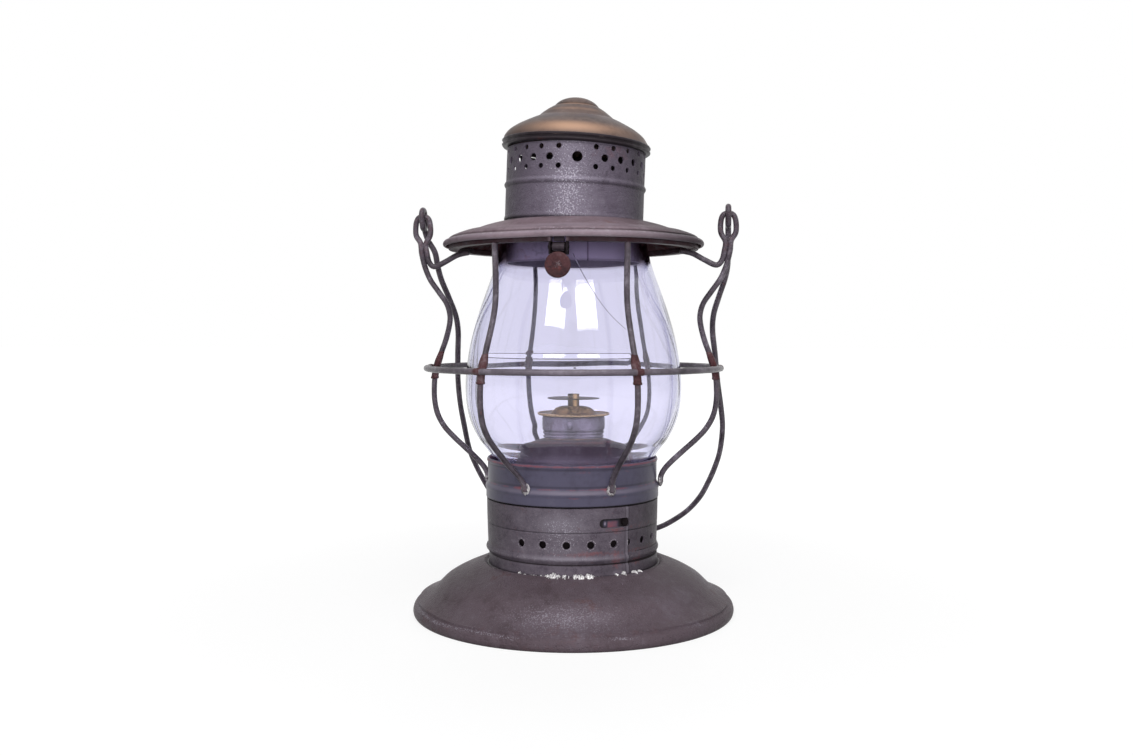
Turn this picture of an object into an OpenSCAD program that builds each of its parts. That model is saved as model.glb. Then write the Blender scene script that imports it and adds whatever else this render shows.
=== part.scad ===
// Railroad signal lantern with a bell base, wire guard, tall glass globe,
// hinged lid with chimney, thumb latch, wick burner and a swinging wire bail.
// Millimetres, +Z up, the front (thumb latch side) faces -Y.

/* [Base] */
// Outer radius of the flared bell at its rolled hem
base_r = 80.8; // [79:0.2:83]
// Height of the rolled hem at the foot of the bell
hem_h = 4; // [3:0.5:5]
// Height of the bell's top edge, where it meets the lower collar
bell_h = 26.2; // [25.4:0.2:27.2]
// Thickness of the bell's sheet
bell_t = 1; // [0.8:0.1:1.2]
// Outer radius of the two sheet collars
collar_r = 42.9; // [42.5:0.1:43.3]
// Thickness of the sheet in collars, chimney and fount
sheet = 0.6; // [0.5:0.1:0.8]
// Height of the lower collar that shows above the bell
collar_h = 31.8; // [31.2:0.2:33.2]
// Height of the row of air holes above the bell
hole_rise = 14; // [13.4:0.1:14.6]
// Diameter of one air hole
hole_d = 3.5; // [2.5:0.1:4.2]
// Distance of the locking slot's middle below the collar joint
slot_drop = 7.8; // [7.2:0.1:8.4]
// Width of the locking slot
slot_w = 4.2; // [4:0.1:4.6]

/* [Frame] */
// Height of the frame collar above the joint
frame_collar_h = 20; // [19:0.5:21]
// Wire diameter of the upright guard wires
guard_d = 2.7; // [2.4:0.1:2.8]
// Wire diameter of the guard ring
ring_d = 3; // [2.6:0.1:3.2]
// Space between the globe's bulge and the guard ring
guard_gap = 18; // [17.2:0.1:18.8]
// Height of the guard ring above the frame collar
ring_rise = 45; // [43:0.5:47]
// How far the wires draw in above the ring towards the eyes
waist_in = 6.9; // [6.5:0.1:7.3]
// Height of the bail's axis above that band
ear_rise = 18.5; // [17.5:0.5:19.5]
// Distance of each eye's middle from the lantern's axis
ear_x = 78.3; // [77.5:0.1:79.5]

/* [Globe] */
// Height of the glass globe
globe_h = 132.2; // [131:0.2:134]
// Height of the globe's widest place above its foot
bulge_h = 52.6; // [50:0.2:55]
// Radius of the globe's bulge
globe_r = 54.8; // [54:0.1:55.6]
// Thickness of the glass
glass_t = 2.4; // [2:0.1:2.6]

/* [Lid] */
// Outer radius of the brim's rolled edge
brim_r = 66.2; // [66.1:0.1:66.6]
// How far the brim's edge reaches over the band below it
brim_lap = 2.8; // [2.6:0.1:3.2]
// Height of the brim from its edge to the foot of the chimney
brim_h = 14.8; // [14.4:0.1:15.2]
// Outer radius of the chimney
chimney_r = 35; // [34.5:0.1:35.6]
// Height of the chimney above the brim
chimney_h = 35.4; // [34:0.2:37]
// Height of the brass cap
cap_h = 25.6; // [24.6:0.2:27]
// Diameter of the vent holes halfway up the vent rows
vent_d = 3.7; // [3:0.1:4]
// Outer radius of the draft tube inside the globe's mouth
draft_r = 32.2; // [31.6:0.1:32.5]

/* [Bail] */
// Wire diameter of the bail
bail_d = 3; // [2.6:0.1:3.2]
// Widest half width of the bail's lower part
bail_w = 72.2; // [71.6:0.1:73]
// Reach of the bail from its axis to the middle of its grip
bail_len = 197.8; // [195:0.2:200]
// Gap at which the bail rests against the guard ring
rest_gap = 0.4; // [0.3:0.1:0.8]

/* [Burner] */
// Outer diameter of the wick tube
tube_d = 6; // [5.8:0.1:6.4]
// Radius of the burner's collar
burner_r = 16.1; // [15.6:0.1:16.6]
// Radius of the perforated plate under the flame
plate_r = 18.3; // [17.8:0.1:19]
// Radius of the thin flame disc
disc_r = 13.5; // [12.5:0.1:14]

/* [Clearances] */
// Radial gap of a pin in its running bore
pin_fit = 0.08; // [0.05:0.01:0.1]
// Radial gap of the locking sleeve inside the lower collar
sleeve_fit = 0.3; // [0.3:0.05:0.4]
// Gap between a wick and what it slides in, and round a lock stud in its slot
slide_fit = 0.3; // [0.3:0.05:0.4]

/* [Hidden] */
// base and collars
joint_z = bell_h + collar_h;
inner_r = collar_r - sheet;
hole_z = bell_h + hole_rise;
slot_z = joint_z - slot_drop;
collar_top_z = joint_z + frame_collar_h;
hole_step = 15.5;
// azimuths of one group of air holes, from the front towards the right
hole_azimuths = [for (k = [0:4]) k * hole_step - 28.4, 48.6, 60, 73];
seam_az = 45.6;
lap_angle = 25;
lap_t = 0.4;
lap_gap = 0.3;
slot_az0 = 25.7;
slot_az1 = 41.8;
stud_az = 41.5;
stud_r = slot_w / 2 - slide_fit;
stud_pin_r = 1;
bead = 0.75;
bead_h = 3.2;
base_bead_z = bell_h + 2 * bead_h + 0.4;
crease_drop = 12.2;
hem_t = 2.2;
collar_sink = 4.4;
sleeve_t = 0.8;
sleeve_drop = 5.6;

// fount and burner
pot_floor_z = 5;
pot_gap = 3;
pot_top_z = hole_z - hole_d / 2 - pot_gap;
fount_gap = 3.8;
fount_r = inner_r - fount_gap;
shoulder_drop = 5;
shoulder_z = joint_z - shoulder_drop;
seat_rise = 1.2;
seat_t = 1;
seat_w = 5.4;
foot_gap = 3.3;
seat_z = joint_z + seat_rise;
globe_z = seat_z + seat_t;
globe_foot_r = inner_r - foot_gap;
neck_rise = 28.7;
neck_t = 1.2;
neck_h = 3.9;
neck_z = globe_z + neck_rise;
neck_r = burner_r - neck_t;
thread_h = 3.8;
burner_h = 6.9;
plate_t = 0.8;
dome_r = 12;
dome_h = 4;
disc_gap = 6.6;
tube_rise = 2;
wick_rise = 0.9;
burner_z = neck_z + thread_h;
plate_z = burner_z + burner_h;
disc_z = plate_z + disc_gap;
tube_top_z = disc_z + tube_rise;
tube_wall = 0.5;
wick_r = tube_d / 2 - slide_fit - tube_wall;
wick_foot = 2;
shaft_r = 1;
shaft_rise = 2.5;
wheel_r = 2;
wheel_t = 2.4;
knob_r = 5.2;
knob_t = 2.6;
knob_gap = 5.1;
rivet_r = 1.6;
shaft_x = -(wick_r + slide_fit + wheel_r);
shaft_z = burner_z + shaft_rise;

// cage
globe_top_z = globe_z + globe_h;
mouth_in = 17.8;
band_drop = 9.9;
band_h = 3;
band_w = 5.4;
band_r = brim_r - brim_lap;
band_z = globe_top_z - band_drop;
ring_z = collar_top_z + ring_rise;
ring_r = globe_r + guard_gap + ring_d / 2;
ring_out = ring_r + ring_d / 2;
ear_z = band_z + ear_rise;
wire_gap = 0.05;
clip_t = 0.25;
clip_w = 4.2;
clip_drop = 5.6;
clip_rise = 6.6;
tab_w = 5.2;
tab_t = 1.6;
solder_r = 2.5;
solder_rise = 9.2;
foot_x = collar_r + guard_d / 2 + wire_gap;
hold_x = ring_r - (ring_d + guard_d) / 2 - clip_t;
waist_x = hold_x - waist_in;
guard_azimuths = [-30, 30, 150, 210];
wire_azimuths = concat(guard_azimuths, [90, 270]);
wire_sides = 8;

// lid, hinge and latch
brim_t = 0.9;
edge_gap = 0.3;
brim_z = band_z + brim_h + edge_gap;
chimney_top_z = brim_z + chimney_h;
chimney_bead = 16.9;
cap_lap = 1.8;
rim_h = 2.4;
cap_t = 0.8;
cap_r = chimney_r + cap_lap;
cap_z = chimney_top_z + rim_h;
vent_drop = 7.5;
vent_step = 5;
small_vent_d = 2.6;
large_vent_d = 5;
vent_count = 23;
vent_az = 9.2;
vent_z = chimney_top_z - vent_drop;
draft_drop = 7.2;
hinge_gap = 2.3;
hinge_drop = 1;
hinge_y = brim_r + hinge_gap;
hinge_z = band_z - hinge_drop;
knuckle_r = 2.3;
hinge_pin_r = 1;
hinge_w = 10;
hinge_end = 4.6;
latch_in = 1.4;
latch_drop = 2.5;
latch_y = latch_in - band_r;
latch_z = band_z - latch_drop;
latch_w = 5.6;
latch_pin_r = 0.8;
latch_disc_r = 6;
latch_disc_drop = 8.4;
latch_disc_t = 1.1;
latch_disc_z = latch_z - latch_disc_drop;

// bail
eye_fit = 0.35;
loop_r = guard_d / 2 + eye_fit + bail_d / 2;
loop_leg = 3.6;
eye_w = 4.2;
eye_set = 2.4;
grip_set = 2;
waist_set = 1.8;
ring_reach = bail_w - waist_set - eye_set - bail_d / 2 - rest_gap;
bail_lean = atan(sqrt(ring_out * ring_out - ring_reach * ring_reach) / (ear_z - ring_z));

// Points at the given shares of the way from one place to another.
function path(p, q, shares) = [for (s = shares)
    [p[0] + (q[0] - p[0]) * s[0], p[1] + (q[1] - p[1]) * s[1]]];

// Upright wire: radius and height from the collar up to the ring, then on to band or eye.
foot_pts = path([foot_x, joint_z], [hold_x, ring_z],
    [[0, 0.114], [0.007, 0.16], [0.074, 0.214], [0.212, 0.277], [0.442, 0.365]]);
bulge_pts = path([foot_x, joint_z], [hold_x, ring_z],
    [[0.658, 0.446], [0.844, 0.529], [0.978, 0.628], [1.037, 0.738], [1.045, 0.846],
    [1.03, 0.932], [1, 1]]);
waist_pts = path([hold_x, ring_z], [band_r - latch_in, band_z],
    [[0.25, 0.128], [0.598, 0.279], [0.87, 0.407], [1.043, 0.528], [1.087, 0.672],
    [1.043, 0.84], [1, 0.998]]);
ear_side_pts = path([hold_x, ring_z], [waist_x, ear_z],
    [[0.26, 0.072], [0.725, 0.187], [1, 0.29], [1, 0.356]]);
eye_pts = path([waist_x, ring_z], [ear_x, ear_z],
    [[0.121, 0.423], [0.407, 0.497], [0.729, 0.579], [0.936, 0.667], [1.057, 0.756],
    [1.1, 0.823], [1.264, 0.874], [1.271, 0.951], [1.143, 1]]);
plain_pts = concat(foot_pts, bulge_pts, waist_pts);
ear_pts = concat(foot_pts, bulge_pts, ear_side_pts, eye_pts);
strut_pts = concat(path([waist_x, ring_z], [ear_x, ear_z],
    [[0.857, 1], [0.729, 0.951], [0.736, 0.874], [0.9, 0.823], [0.857, 0.756], [0.771, 0.695],
    [0.564, 0.665]]), [[band_r + band_h, band_z - 1.7 * band_h],
    [band_r - band_h, band_z - 0.55 * band_h]]);
// The stretch of upright wire that a ring clip holds, going on into the points above it.
function clip_pts(above) = concat([for (i = [4:6]) bulge_pts[i]], [for (i = [0:2]) above[i]]);
// Bail: half width and reach from the axis, right side down to the grip.
bail_pts = concat([[ear_x, loop_leg + loop_r]],
    path([bail_w, 0], [ear_x, bail_len],
        [[0.918, 0.066], [0.656, 0.101], [0.59, 0.142], [0.377, 0.182]]),
    path([bail_w, 0], [0, bail_len],
        [[0.01, 0.233], [0.046, 0.283], [0.053, 0.334], [0.033, 0.404], [0.015, 0.48],
        [0.001, 0.556], [0, 0.627], [0.019, 0.703], [0.057, 0.758], [0.108, 0.809],
        [0.169, 0.857], [0.266, 0.905], [0.388, 0.943], [0.501, 0.968], [0.654, 0.987],
        [0.834, 0.997]]));
// Globe: outer radius and height, from the foot past the bulge to the mouth.
globe_pts = concat(
    path([globe_foot_r, 0], [globe_r, bulge_h],
        [[0, 0], [0.019, 0.143], [0.063, 0.247], [0.152, 0.342], [0.335, 0.422], [0.544, 0.502],
        [0.734, 0.605], [0.886, 0.722], [0.975, 0.856], [1, 1]]),
    path([globe_r, bulge_h], [globe_r - mouth_in, globe_h],
        [[0.022, 0.106], [0.09, 0.224], [0.213, 0.354], [0.382, 0.485], [0.579, 0.613],
        [0.77, 0.731], [0.904, 0.832], [0.983, 0.922], [1, 1]]));
// Brim from above, chimney to edge, and its sheet's under side back to the chimney.
brim_over = concat(path([chimney_r, brim_z], [brim_r, brim_z - brim_h],
    [[0.032, 0], [0.353, 0.128], [0.596, 0.365], [0.686, 0.405], [0.878, 0.568], [0.962, 0.689],
    [1, 0.784], [1, 0.919]]),
    [[brim_r - 0.6 * brim_t, brim_z - 0.986 * brim_h], [brim_r - 1.1 * brim_t, brim_z - brim_h]]);

function span(p0, p1, p2, p3, t) = 0.5 * (2 * p1 + (p2 - p0) * t
    + (2 * p0 - 5 * p1 + 4 * p2 - p3) * t * t + (3 * p1 - p0 - 3 * p2 + p3) * t * t * t);
// Smooth curve through the points, with n steps from one to the next.
function smooth(p, n) = concat(
    [for (i = [0:len(p) - 2]) for (k = [0:n - 1])
        span(p[max(i - 1, 0)], p[i], p[i + 1], p[min(i + 2, len(p) - 1)], k / n)],
    [p[len(p) - 1]]);
function unit(v) = v / norm(v);
function tangent(p, i) = unit(p[min(i + 1, len(p) - 1)] - p[max(i - 1, 0)]);
function reversed(p) = [for (i = [len(p) - 1:-1:0]) p[i]];
// The under side of a sheet whose upper side runs outwards and down through p.
function under(p, t) = [for (i = [len(p) - 1:-1:0]) let (d = tangent(p, i))
    [max(p[i][0] + t * d[1], 0), p[i][1] - t * d[0]]];
function ramp(s, a, b) = let (t = min(max((s - a) / (b - a), 0), 1)) t * t * (3 - 2 * t);
// Sideways set of the hand-bent bail at a given reach.
function bail_set(s) = eye_set * ramp(s / bail_len, 0.04, 0.12)
    + grip_set * ramp(s / bail_len, 0.48, 0.65);
brim_under = under([for (i = [1:7]) brim_over[i]], brim_t);

// Turns a piece drawn at the front (-Y) to an azimuth, positive to the right.
module at(az) { rotate([0, 0, az]) children(); }

// Turns a piece drawn on +X to an azimuth from the front.
module side_at(az) { rotate([0, 0, az - 90]) children(); }

module turned(pts) { rotate_extrude($fn = 96) polygon(pts); }

module tube(r_out, r_in, z0, z1) {
    turned([[r_in, z0], [r_out, z0], [r_out, z1], [r_in, z1]]);
}

// Round bar along X, middle at x = 0, or along +Y from y = 0.
module bar_x(len, r) {
    translate([-len / 2, 0, 0]) rotate([0, 90, 0]) cylinder(h = len, r = r, $fn = 32);
}

module bar_y(len, r) { rotate([-90, 0, 0]) cylinder(h = len, r = r, $fn = 32); }

// Hole or peg through a wall of radius r at the front, from outside to inside it.
module through(r, d) { translate([0, -r - 3, 0]) bar_y(6, d / 2); }

// Round wire along points [x, z] of the XZ plane.
module wire(p, d) {
    n = wire_sides;
    pts = [for (i = [0:len(p) - 1]) let (t = tangent(p, i)) for (k = [0:n - 1])
        let (a = 360 * k / n + 180 / n, u = d / 2 * cos(a), v = d / 2 * sin(a))
        [p[i][0] - v * t[1], u, p[i][1] + v * t[0]]];
    last = (len(p) - 1) * n;
    sides = [for (i = [0:len(p) - 2]) for (k = [0:n - 1])
        let (a = i * n + k, b = i * n + (k + 1) % n) each [[a, a + n, b + n], [a, b + n, b]]];
    ends = [[for (k = [0:n - 1]) k], [for (k = [n - 1:-1:0]) last + k]];
    polyhedron(points = pts, faces = concat(sides, ends));
}

// Pieces of the base

module bell_base() {
    skin = path([collar_r, bell_h], [base_r, hem_h],
        [[0, 0], [0.135, 0.045], [0.24, 0.113], [0.346, 0.18], [0.451, 0.266], [0.557, 0.378],
        [0.636, 0.486], [0.689, 0.581], [0.741, 0.667], [0.807, 0.748], [0.926, 0.869],
        [0.992, 0.959]]);
    inner = under([for (i = [1:len(skin) - 2]) skin[i]], bell_t);
    hem = [[base_r, 0.85 * hem_h], [base_r, 0.2 * hem_h], [base_r - 0.4 * hem_t, 0],
        [base_r - hem_t, 0], [base_r - hem_t, hem_h]];
    color([0.27, 0.2, 0.16])
        turned(concat(skin, hem, inner, [[collar_r, bell_h - 1.2 * bell_t]]));
}

module base_solder() {
    color([0.75, 0.75, 0.76]) turned(concat(path([collar_r, bell_h], [base_r, hem_h],
        [[0, 0], [0.135, 0.045], [0.1, 0]]),
        [[collar_r + 0.4 * bead_h, bell_h + 0.56 * bead_h], [collar_r, bell_h + bead_h]]));
}

// Locking slot with round ends, between the azimuths where a stud comes to rest.
module slot_cut() {
    half = collar_r * sin((slot_az1 - slot_az0) / 2);
    at((slot_az0 + slot_az1) / 2) translate([0, -collar_r - 3, slot_z]) rotate([-90, 0, 0])
        linear_extrude(height = 6) union() {
            square([2 * half, slot_w], center = true);
            for (s = [-1, 1]) translate([s * half, 0]) circle(d = slot_w, $fn = 32);
        }
}

// Half outline of a rolled bead that stands out from a wall of radius r.
function beaded(r, z) = [[r, z - bead_h / 2], [r + bead, z - 0.2 * bead_h],
    [r + bead, z + 0.2 * bead_h], [r, z + bead_h / 2]];

module base_collar() {
    crease_z = joint_z - crease_drop;
    foot_z = bell_h - collar_sink;
    lap_z = bell_h + bead_h + lap_gap;
    color([0.4, 0.34, 0.32]) difference() {
        union() {
            turned(concat([[inner_r, foot_z], [collar_r, foot_z]], beaded(collar_r, base_bead_z),
                [[collar_r, crease_z - bead / 2], [collar_r - bead / 3, crease_z],
                [collar_r, crease_z + bead / 2], [collar_r, joint_z], [inner_r, joint_z]]));
            side_at(seam_az - lap_angle) rotate_extrude(angle = lap_angle, $fn = 96)
                translate([collar_r - lap_t / 4, lap_z])
                    square([1.25 * lap_t, joint_z - 2 * lap_gap - lap_z]);
        }
        for (half = [0, 180]) at(half) {
            for (az = hole_azimuths) at(az) translate([0, 0, hole_z]) through(collar_r, hole_d);
            slot_cut();
        }
    }
}

module fount_pot() {
    color([0.35, 0.3, 0.28]) difference() {
        tube(inner_r, 0, pot_floor_z - 0.8, pot_top_z);
        translate([0, 0, pot_floor_z]) cylinder(h = joint_z, r = inner_r - sheet, $fn = 96);
    }
}

module fount_body() {
    in_r = fount_r - sheet;
    color([0.42, 0.38, 0.36])
        turned([[0, pot_floor_z], [fount_r, pot_floor_z], [fount_r, shoulder_z], [in_r, shoulder_z],
            [in_r, pot_floor_z + sheet], [0, pot_floor_z + sheet]]);
}

module fount_top() {
    over = path([neck_r, neck_z], [fount_r, shoulder_z],
        [[0, 0.028], [0.216, 0.086], [0.411, 0.164], [0.547, 0.259], [0.606, 0.471],
        [0.64, 0.749], [0.682, 0.861], [0.894, 0.933]]);
    inner = under([for (i = [1:len(over) - 1]) over[i]], sheet);
    color([0.3, 0.2, 0.18])
        turned(concat(over, [[fount_r, shoulder_z], [fount_r - sheet, shoulder_z]], inner,
            [[neck_r, over[0][1] - 1.5 * sheet]]));
}

module fount_neck() {
    color([0.6, 0.5, 0.3]) tube(neck_r, neck_r - neck_t, neck_z - neck_h, neck_z);
}

// Pieces of the burner

module burner_collar() {
    wall = neck_t;
    wall_r = burner_r - wall;
    thread_r = neck_r - neck_t - slide_fit;
    top_z = plate_z - plate_t;
    boss_r = tube_d / 2 + plate_t;
    color([0.62, 0.6, 0.58]) difference() {
        turned([[neck_r, neck_z], [neck_r, burner_z - wall / 3], [burner_r - wall / 4, burner_z],
            [burner_r, burner_z + wall / 2], [burner_r, top_z - plate_t],
            [burner_r - wall / 2, top_z], [boss_r, top_z], [boss_r, top_z - plate_t],
            [wall_r - wall / 2, top_z - plate_t], [wall_r, top_z - 2 * plate_t],
            [wall_r, burner_z], [thread_r, burner_z - plate_t], [thread_r, neck_z - 0.6 * neck_h],
            [thread_r - wall, neck_z - 0.6 * neck_h], [thread_r - wall, neck_z - 0.85 * neck_h],
            [thread_r + slide_fit / 2, neck_z - 0.85 * neck_h], [thread_r + slide_fit / 2, neck_z]]);
        translate([shaft_x, 0, shaft_z]) bar_y(2 * burner_r, shaft_r + pin_fit);
        translate([0, -burner_r - wall, shaft_z]) bar_y(burner_r, 0.55 * rivet_r);
    }
}

module burner_rivet() {
    color([0.66, 0.64, 0.6]) {
        difference() {
            translate([0, -burner_r - 0.8 * rivet_r, shaft_z]) bar_y(2 * rivet_r, rivet_r);
            cylinder(h = 2 * shaft_z, r = burner_r, $fn = 96);
        }
        intersection() {
            translate([0, -burner_r - 0.3 * rivet_r, shaft_z]) bar_y(2 * rivet_r, 0.55 * rivet_r);
            tube(burner_r, burner_r - neck_t, burner_z, plate_z);
        }
    }
}

module burner_plate() {
    vents = 24;
    in_r = tube_d / 2;
    boss_r = in_r + plate_t;
    flat_z = plate_z + 0.05 * dome_h;
    dome = [for (p = [[0.55, 0.95], [0.783, 0.7], [0.933, 0.25]]) [p[0] * dome_r, plate_z + p[1] * dome_h]];
    color([0.68, 0.55, 0.3]) difference() {
        turned(concat([[boss_r, plate_z - plate_t], [plate_r, plate_z - plate_t], [plate_r, flat_z],
            [dome_r, flat_z]], reversed(dome), [[in_r, plate_z + dome_h], [in_r, plate_z + 0.8 * dome_h]],
            reversed(under(dome, plate_t)), [[dome_r - 1.4 * plate_t, plate_z], [boss_r, plate_z]]));
        for (k = [0:vents - 1]) rotate([0, 0, 360 / vents * k])
            translate([(plate_r + burner_r) / 2, 0, plate_z - dome_h]) cylinder(h = 2 * dome_h,
                r = (plate_r - burner_r) / 3, $fn = 16);
    }
}

module wick_tube() {
    half = 0.71 * wheel_t;
    color([0.72, 0.58, 0.3]) difference() {
        tube(tube_d / 2, wick_r + slide_fit, neck_z - tube_wall, tube_top_z);
        translate([-2 * tube_d, -half, shaft_z - 1.4 * wheel_r])
            cube([2 * tube_d - 0.17 * tube_d, 2 * half, 2.8 * wheel_r]);
    }
}

module flame_disc() {
    color([0.45, 0.4, 0.36]) tube(disc_r, tube_d / 2, disc_z, disc_z + tube_wall);
}

// Shaft along Y, stepped down to half its size where the spur wheel sits.
module raiser_shaft() {
    front = burner_r - 3 * neck_t;
    rear = burner_r + knob_gap;
    hub = wheel_t / 2;
    color([0.6, 0.5, 0.32]) translate([shaft_x, 0, shaft_z]) {
        translate([0, -front, 0]) bar_y(front - hub, shaft_r);
        translate([0, -hub, 0]) bar_y(wheel_t, shaft_r / 2);
        translate([0, hub, 0]) bar_y(rear - hub, shaft_r);
    }
}

module raiser_wheel() {
    color([0.6, 0.5, 0.32]) translate([shaft_x, -wheel_t / 2, shaft_z]) difference() {
        bar_y(wheel_t, wheel_r);
        translate([0, -wheel_t, 0]) bar_y(3 * wheel_t, shaft_r / 2);
        for (k = [0:7]) rotate([0, 45 * k, 0]) translate([1.17 * wheel_r, -wheel_t, 0])
            bar_y(3 * wheel_t, 0.27 * wheel_r);
    }
}

module raiser_knob() {
    color([0.64, 0.54, 0.34]) translate([shaft_x, burner_r + knob_gap, shaft_z]) difference() {
        bar_y(knob_t, knob_r);
        for (k = [0:11]) rotate([0, 30 * k, 0]) translate([1.08 * knob_r, -knob_t, 0])
            bar_y(3 * knob_t, 0.145 * knob_r);
    }
}

module wick() {
    foot_z = joint_z + wick_foot;
    color([0.86, 0.82, 0.72]) translate([0, 0, foot_z])
        cylinder(h = tube_top_z + wick_rise - foot_z, r = wick_r, $fn = 32);
}

// Pieces of the frame

module frame_collar() {
    roll = 2.4;
    color([0.46, 0.44, 0.47])
        turned(concat([[inner_r, joint_z], [collar_r, joint_z]],
            beaded(collar_r, joint_z + frame_collar_h / 4.65),
            [[collar_r, collar_top_z - roll], [collar_r + bead / 2, collar_top_z - 0.75 * roll],
            [collar_r + bead / 2, collar_top_z - roll / 6], [collar_r, collar_top_z],
            [inner_r, collar_top_z]]));
}

module lock_sleeve() {
    out_r = inner_r - sleeve_fit;
    in_r = out_r - sleeve_t;
    foot_z = slot_z - sleeve_drop;
    step_z = joint_z + seat_rise / 3;
    color([0.4, 0.38, 0.38]) difference() {
        turned([[in_r, foot_z], [out_r, foot_z], [out_r, step_z], [inner_r, step_z],
            [inner_r, seat_z], [in_r, seat_z]]);
        for (half = [0, 180]) at(half + stud_az) translate([0, 0, slot_z])
            through(out_r, 2 * stud_pin_r);
    }
}

module lock_studs() {
    out_r = inner_r - sleeve_fit;
    color([0.5, 0.46, 0.44]) for (half = [0, 180]) {
        difference() {
            at(half + stud_az) translate([0, -collar_r - sleeve_fit, slot_z]) bar_y(2, stud_r);
            cylinder(h = 2 * slot_z, r = out_r, $fn = 96);
        }
        intersection() {
            at(half + stud_az) translate([0, 0, slot_z]) through(out_r, 2 * stud_pin_r);
            tube(out_r, out_r - sleeve_t, slot_z - slot_w, slot_z + slot_w);
        }
    }
}

module globe_seat() {
    color([0.44, 0.42, 0.42]) tube(inner_r, globe_foot_r - seat_w, seat_z, globe_z);
}

module globe() {
    outer = smooth(globe_pts, 2);
    inner = [for (i = [len(outer) - 1:-1:0])
        [outer[i][0] - glass_t * max(tangent(outer, i)[1], 0.9), outer[i][1]]];
    color([0.86, 0.84, 0.9, 0.35]) translate([0, 0, globe_z]) turned(concat(outer, inner));
}

module ring_solid() {
    rotate_extrude($fn = 96) translate([ring_r, ring_z]) circle(d = ring_d, $fn = 24);
}

module guard_ring() { color([0.25, 0.18, 0.15]) ring_solid(); }

module guard_wire(az) { color([0.25, 0.18, 0.15]) side_at(az) wire(smooth(plain_pts, 2), guard_d); }

module guard_wire_front_left() { guard_wire(guard_azimuths[0]); }
module guard_wire_front_right() { guard_wire(guard_azimuths[1]); }
module guard_wire_rear_right() { guard_wire(guard_azimuths[2]); }
module guard_wire_rear_left() { guard_wire(guard_azimuths[3]); }

// Side wire with the eye that carries the bail, drawn on +X.
module side_wire() {
    color([0.25, 0.18, 0.15]) union() {
        wire(smooth(ear_pts, 2), guard_d);
        translate([ear_x, 0, ear_z]) bar_x(eye_w, guard_d / 2);
        wire(smooth(strut_pts, 2), guard_d);
    }
}

module side_wire_right() { side_wire(); }
module side_wire_left() { mirror([1, 0, 0]) side_wire(); }

// Sheet clips that bind each upright wire to the inside of the ring.
module ring_clips() {
    back = hold_x - 4 * clip_t;
    for (az = wire_azimuths) color([0.42, 0.2, 0.14]) side_at(az) difference() {
        union() {
            translate([back, -clip_w / 2, ring_z - clip_drop])
                cube([ring_out + 3 * clip_t - back, clip_w, clip_drop + clip_rise]);
            translate([hold_x - 0.7 * tab_w, -tab_w / 2, ring_z + clip_rise])
                cube([1.15 * tab_w, tab_w, tab_t]);
        }
        wire(smooth(clip_pts(az % 180 == 90 ? ear_side_pts : waist_pts), 2), guard_d + clip_t);
        ring_solid();
    }
}

// Solder that fixes the six wire feet to the frame collar.
module wire_solder() {
    for (az = wire_azimuths) color([0.72, 0.72, 0.73]) side_at(az) difference() {
        translate([foot_x - 0.1 * solder_r, 0, joint_z + solder_rise]) sphere(r = solder_r, $fn = 24);
        cylinder(h = 2 * collar_top_z, r = collar_r, $fn = 96);
        wire(smooth([for (i = [0:3]) foot_pts[i]], 2), guard_d + wire_gap);
        translate([foot_x - 2 * solder_r, -2 * solder_r, joint_z + 0.8 * solder_rise - 4 * solder_r])
            cube(4 * solder_r);
    }
}

module top_band() {
    gap = 1.3 * latch_w;
    color([0.34, 0.27, 0.27]) difference() {
        tube(band_r, band_r - band_w, band_z, band_z + band_h);
        translate([-gap / 2, -band_r - band_h, band_z - band_h]) cube([gap, 1.75 * band_w, 3 * band_h]);
    }
}

module hinge_leaf_frame() {
    start_y = band_r - 0.8 * band_w;
    leaf_t = 0.4 * band_h;
    color([0.33, 0.25, 0.23]) difference() {
        union() {
            translate([-hinge_w / 2, start_y, band_z - leaf_t]) cube([hinge_w, hinge_y - start_y, leaf_t]);
            translate([0, hinge_y, hinge_z]) bar_x(hinge_w, knuckle_r);
        }
        translate([0, hinge_y, hinge_z]) bar_x(1.2 * hinge_w, hinge_pin_r);
    }
}

module hinge_pin() {
    color([0.4, 0.36, 0.34]) translate([0, hinge_y, hinge_z])
        bar_x(hinge_w + 2.35 * hinge_end, hinge_pin_r);
}

module latch_bracket() {
    foot_z = latch_z - 1.36 * latch_drop;
    t = 1.4 * latch_w / 10;
    side_x = 0.64 * latch_w;
    color([0.1, 0.09, 0.09]) difference() {
        union() {
            for (s = [-1, 1]) translate([s * (side_x + t / 2) - t / 2, latch_y - 0.43 * latch_w, foot_z])
                cube([t, 1.07 * latch_w, band_z - foot_z]);
            translate([-side_x - t, latch_y + 0.55 * latch_w, foot_z])
                cube([2 * side_x + 2 * t, t, band_z - foot_z]);
        }
        translate([0, latch_y, latch_z]) bar_x(3 * latch_w, latch_pin_r);
    }
}

module latch_pin() {
    color([0.4, 0.37, 0.35]) translate([0, latch_y, latch_z]) bar_x(1.75 * latch_w, latch_pin_r);
}

module latch_lever() {
    w = latch_w;
    blade = [[-0.21, 0], [-0.46, -0.71], [-0.46, -2.43], [-0.3, -2.43], [-0.3, -0.66], [0.16, 0],
        [0.09, 0.54], [0.16, 0.57], [0.16, 0.75], [-0.09, 0.75]];
    color([0.36, 0.22, 0.18]) translate([0, latch_y, latch_z]) difference() {
        union() {
            bar_x(w, 0.34 * w);
            translate([-w / 2, 0, 0]) rotate([90, 0, 90]) linear_extrude(height = w)
                polygon(w * blade);
        }
        bar_x(3 * w, latch_pin_r + pin_fit);
    }
}

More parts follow.
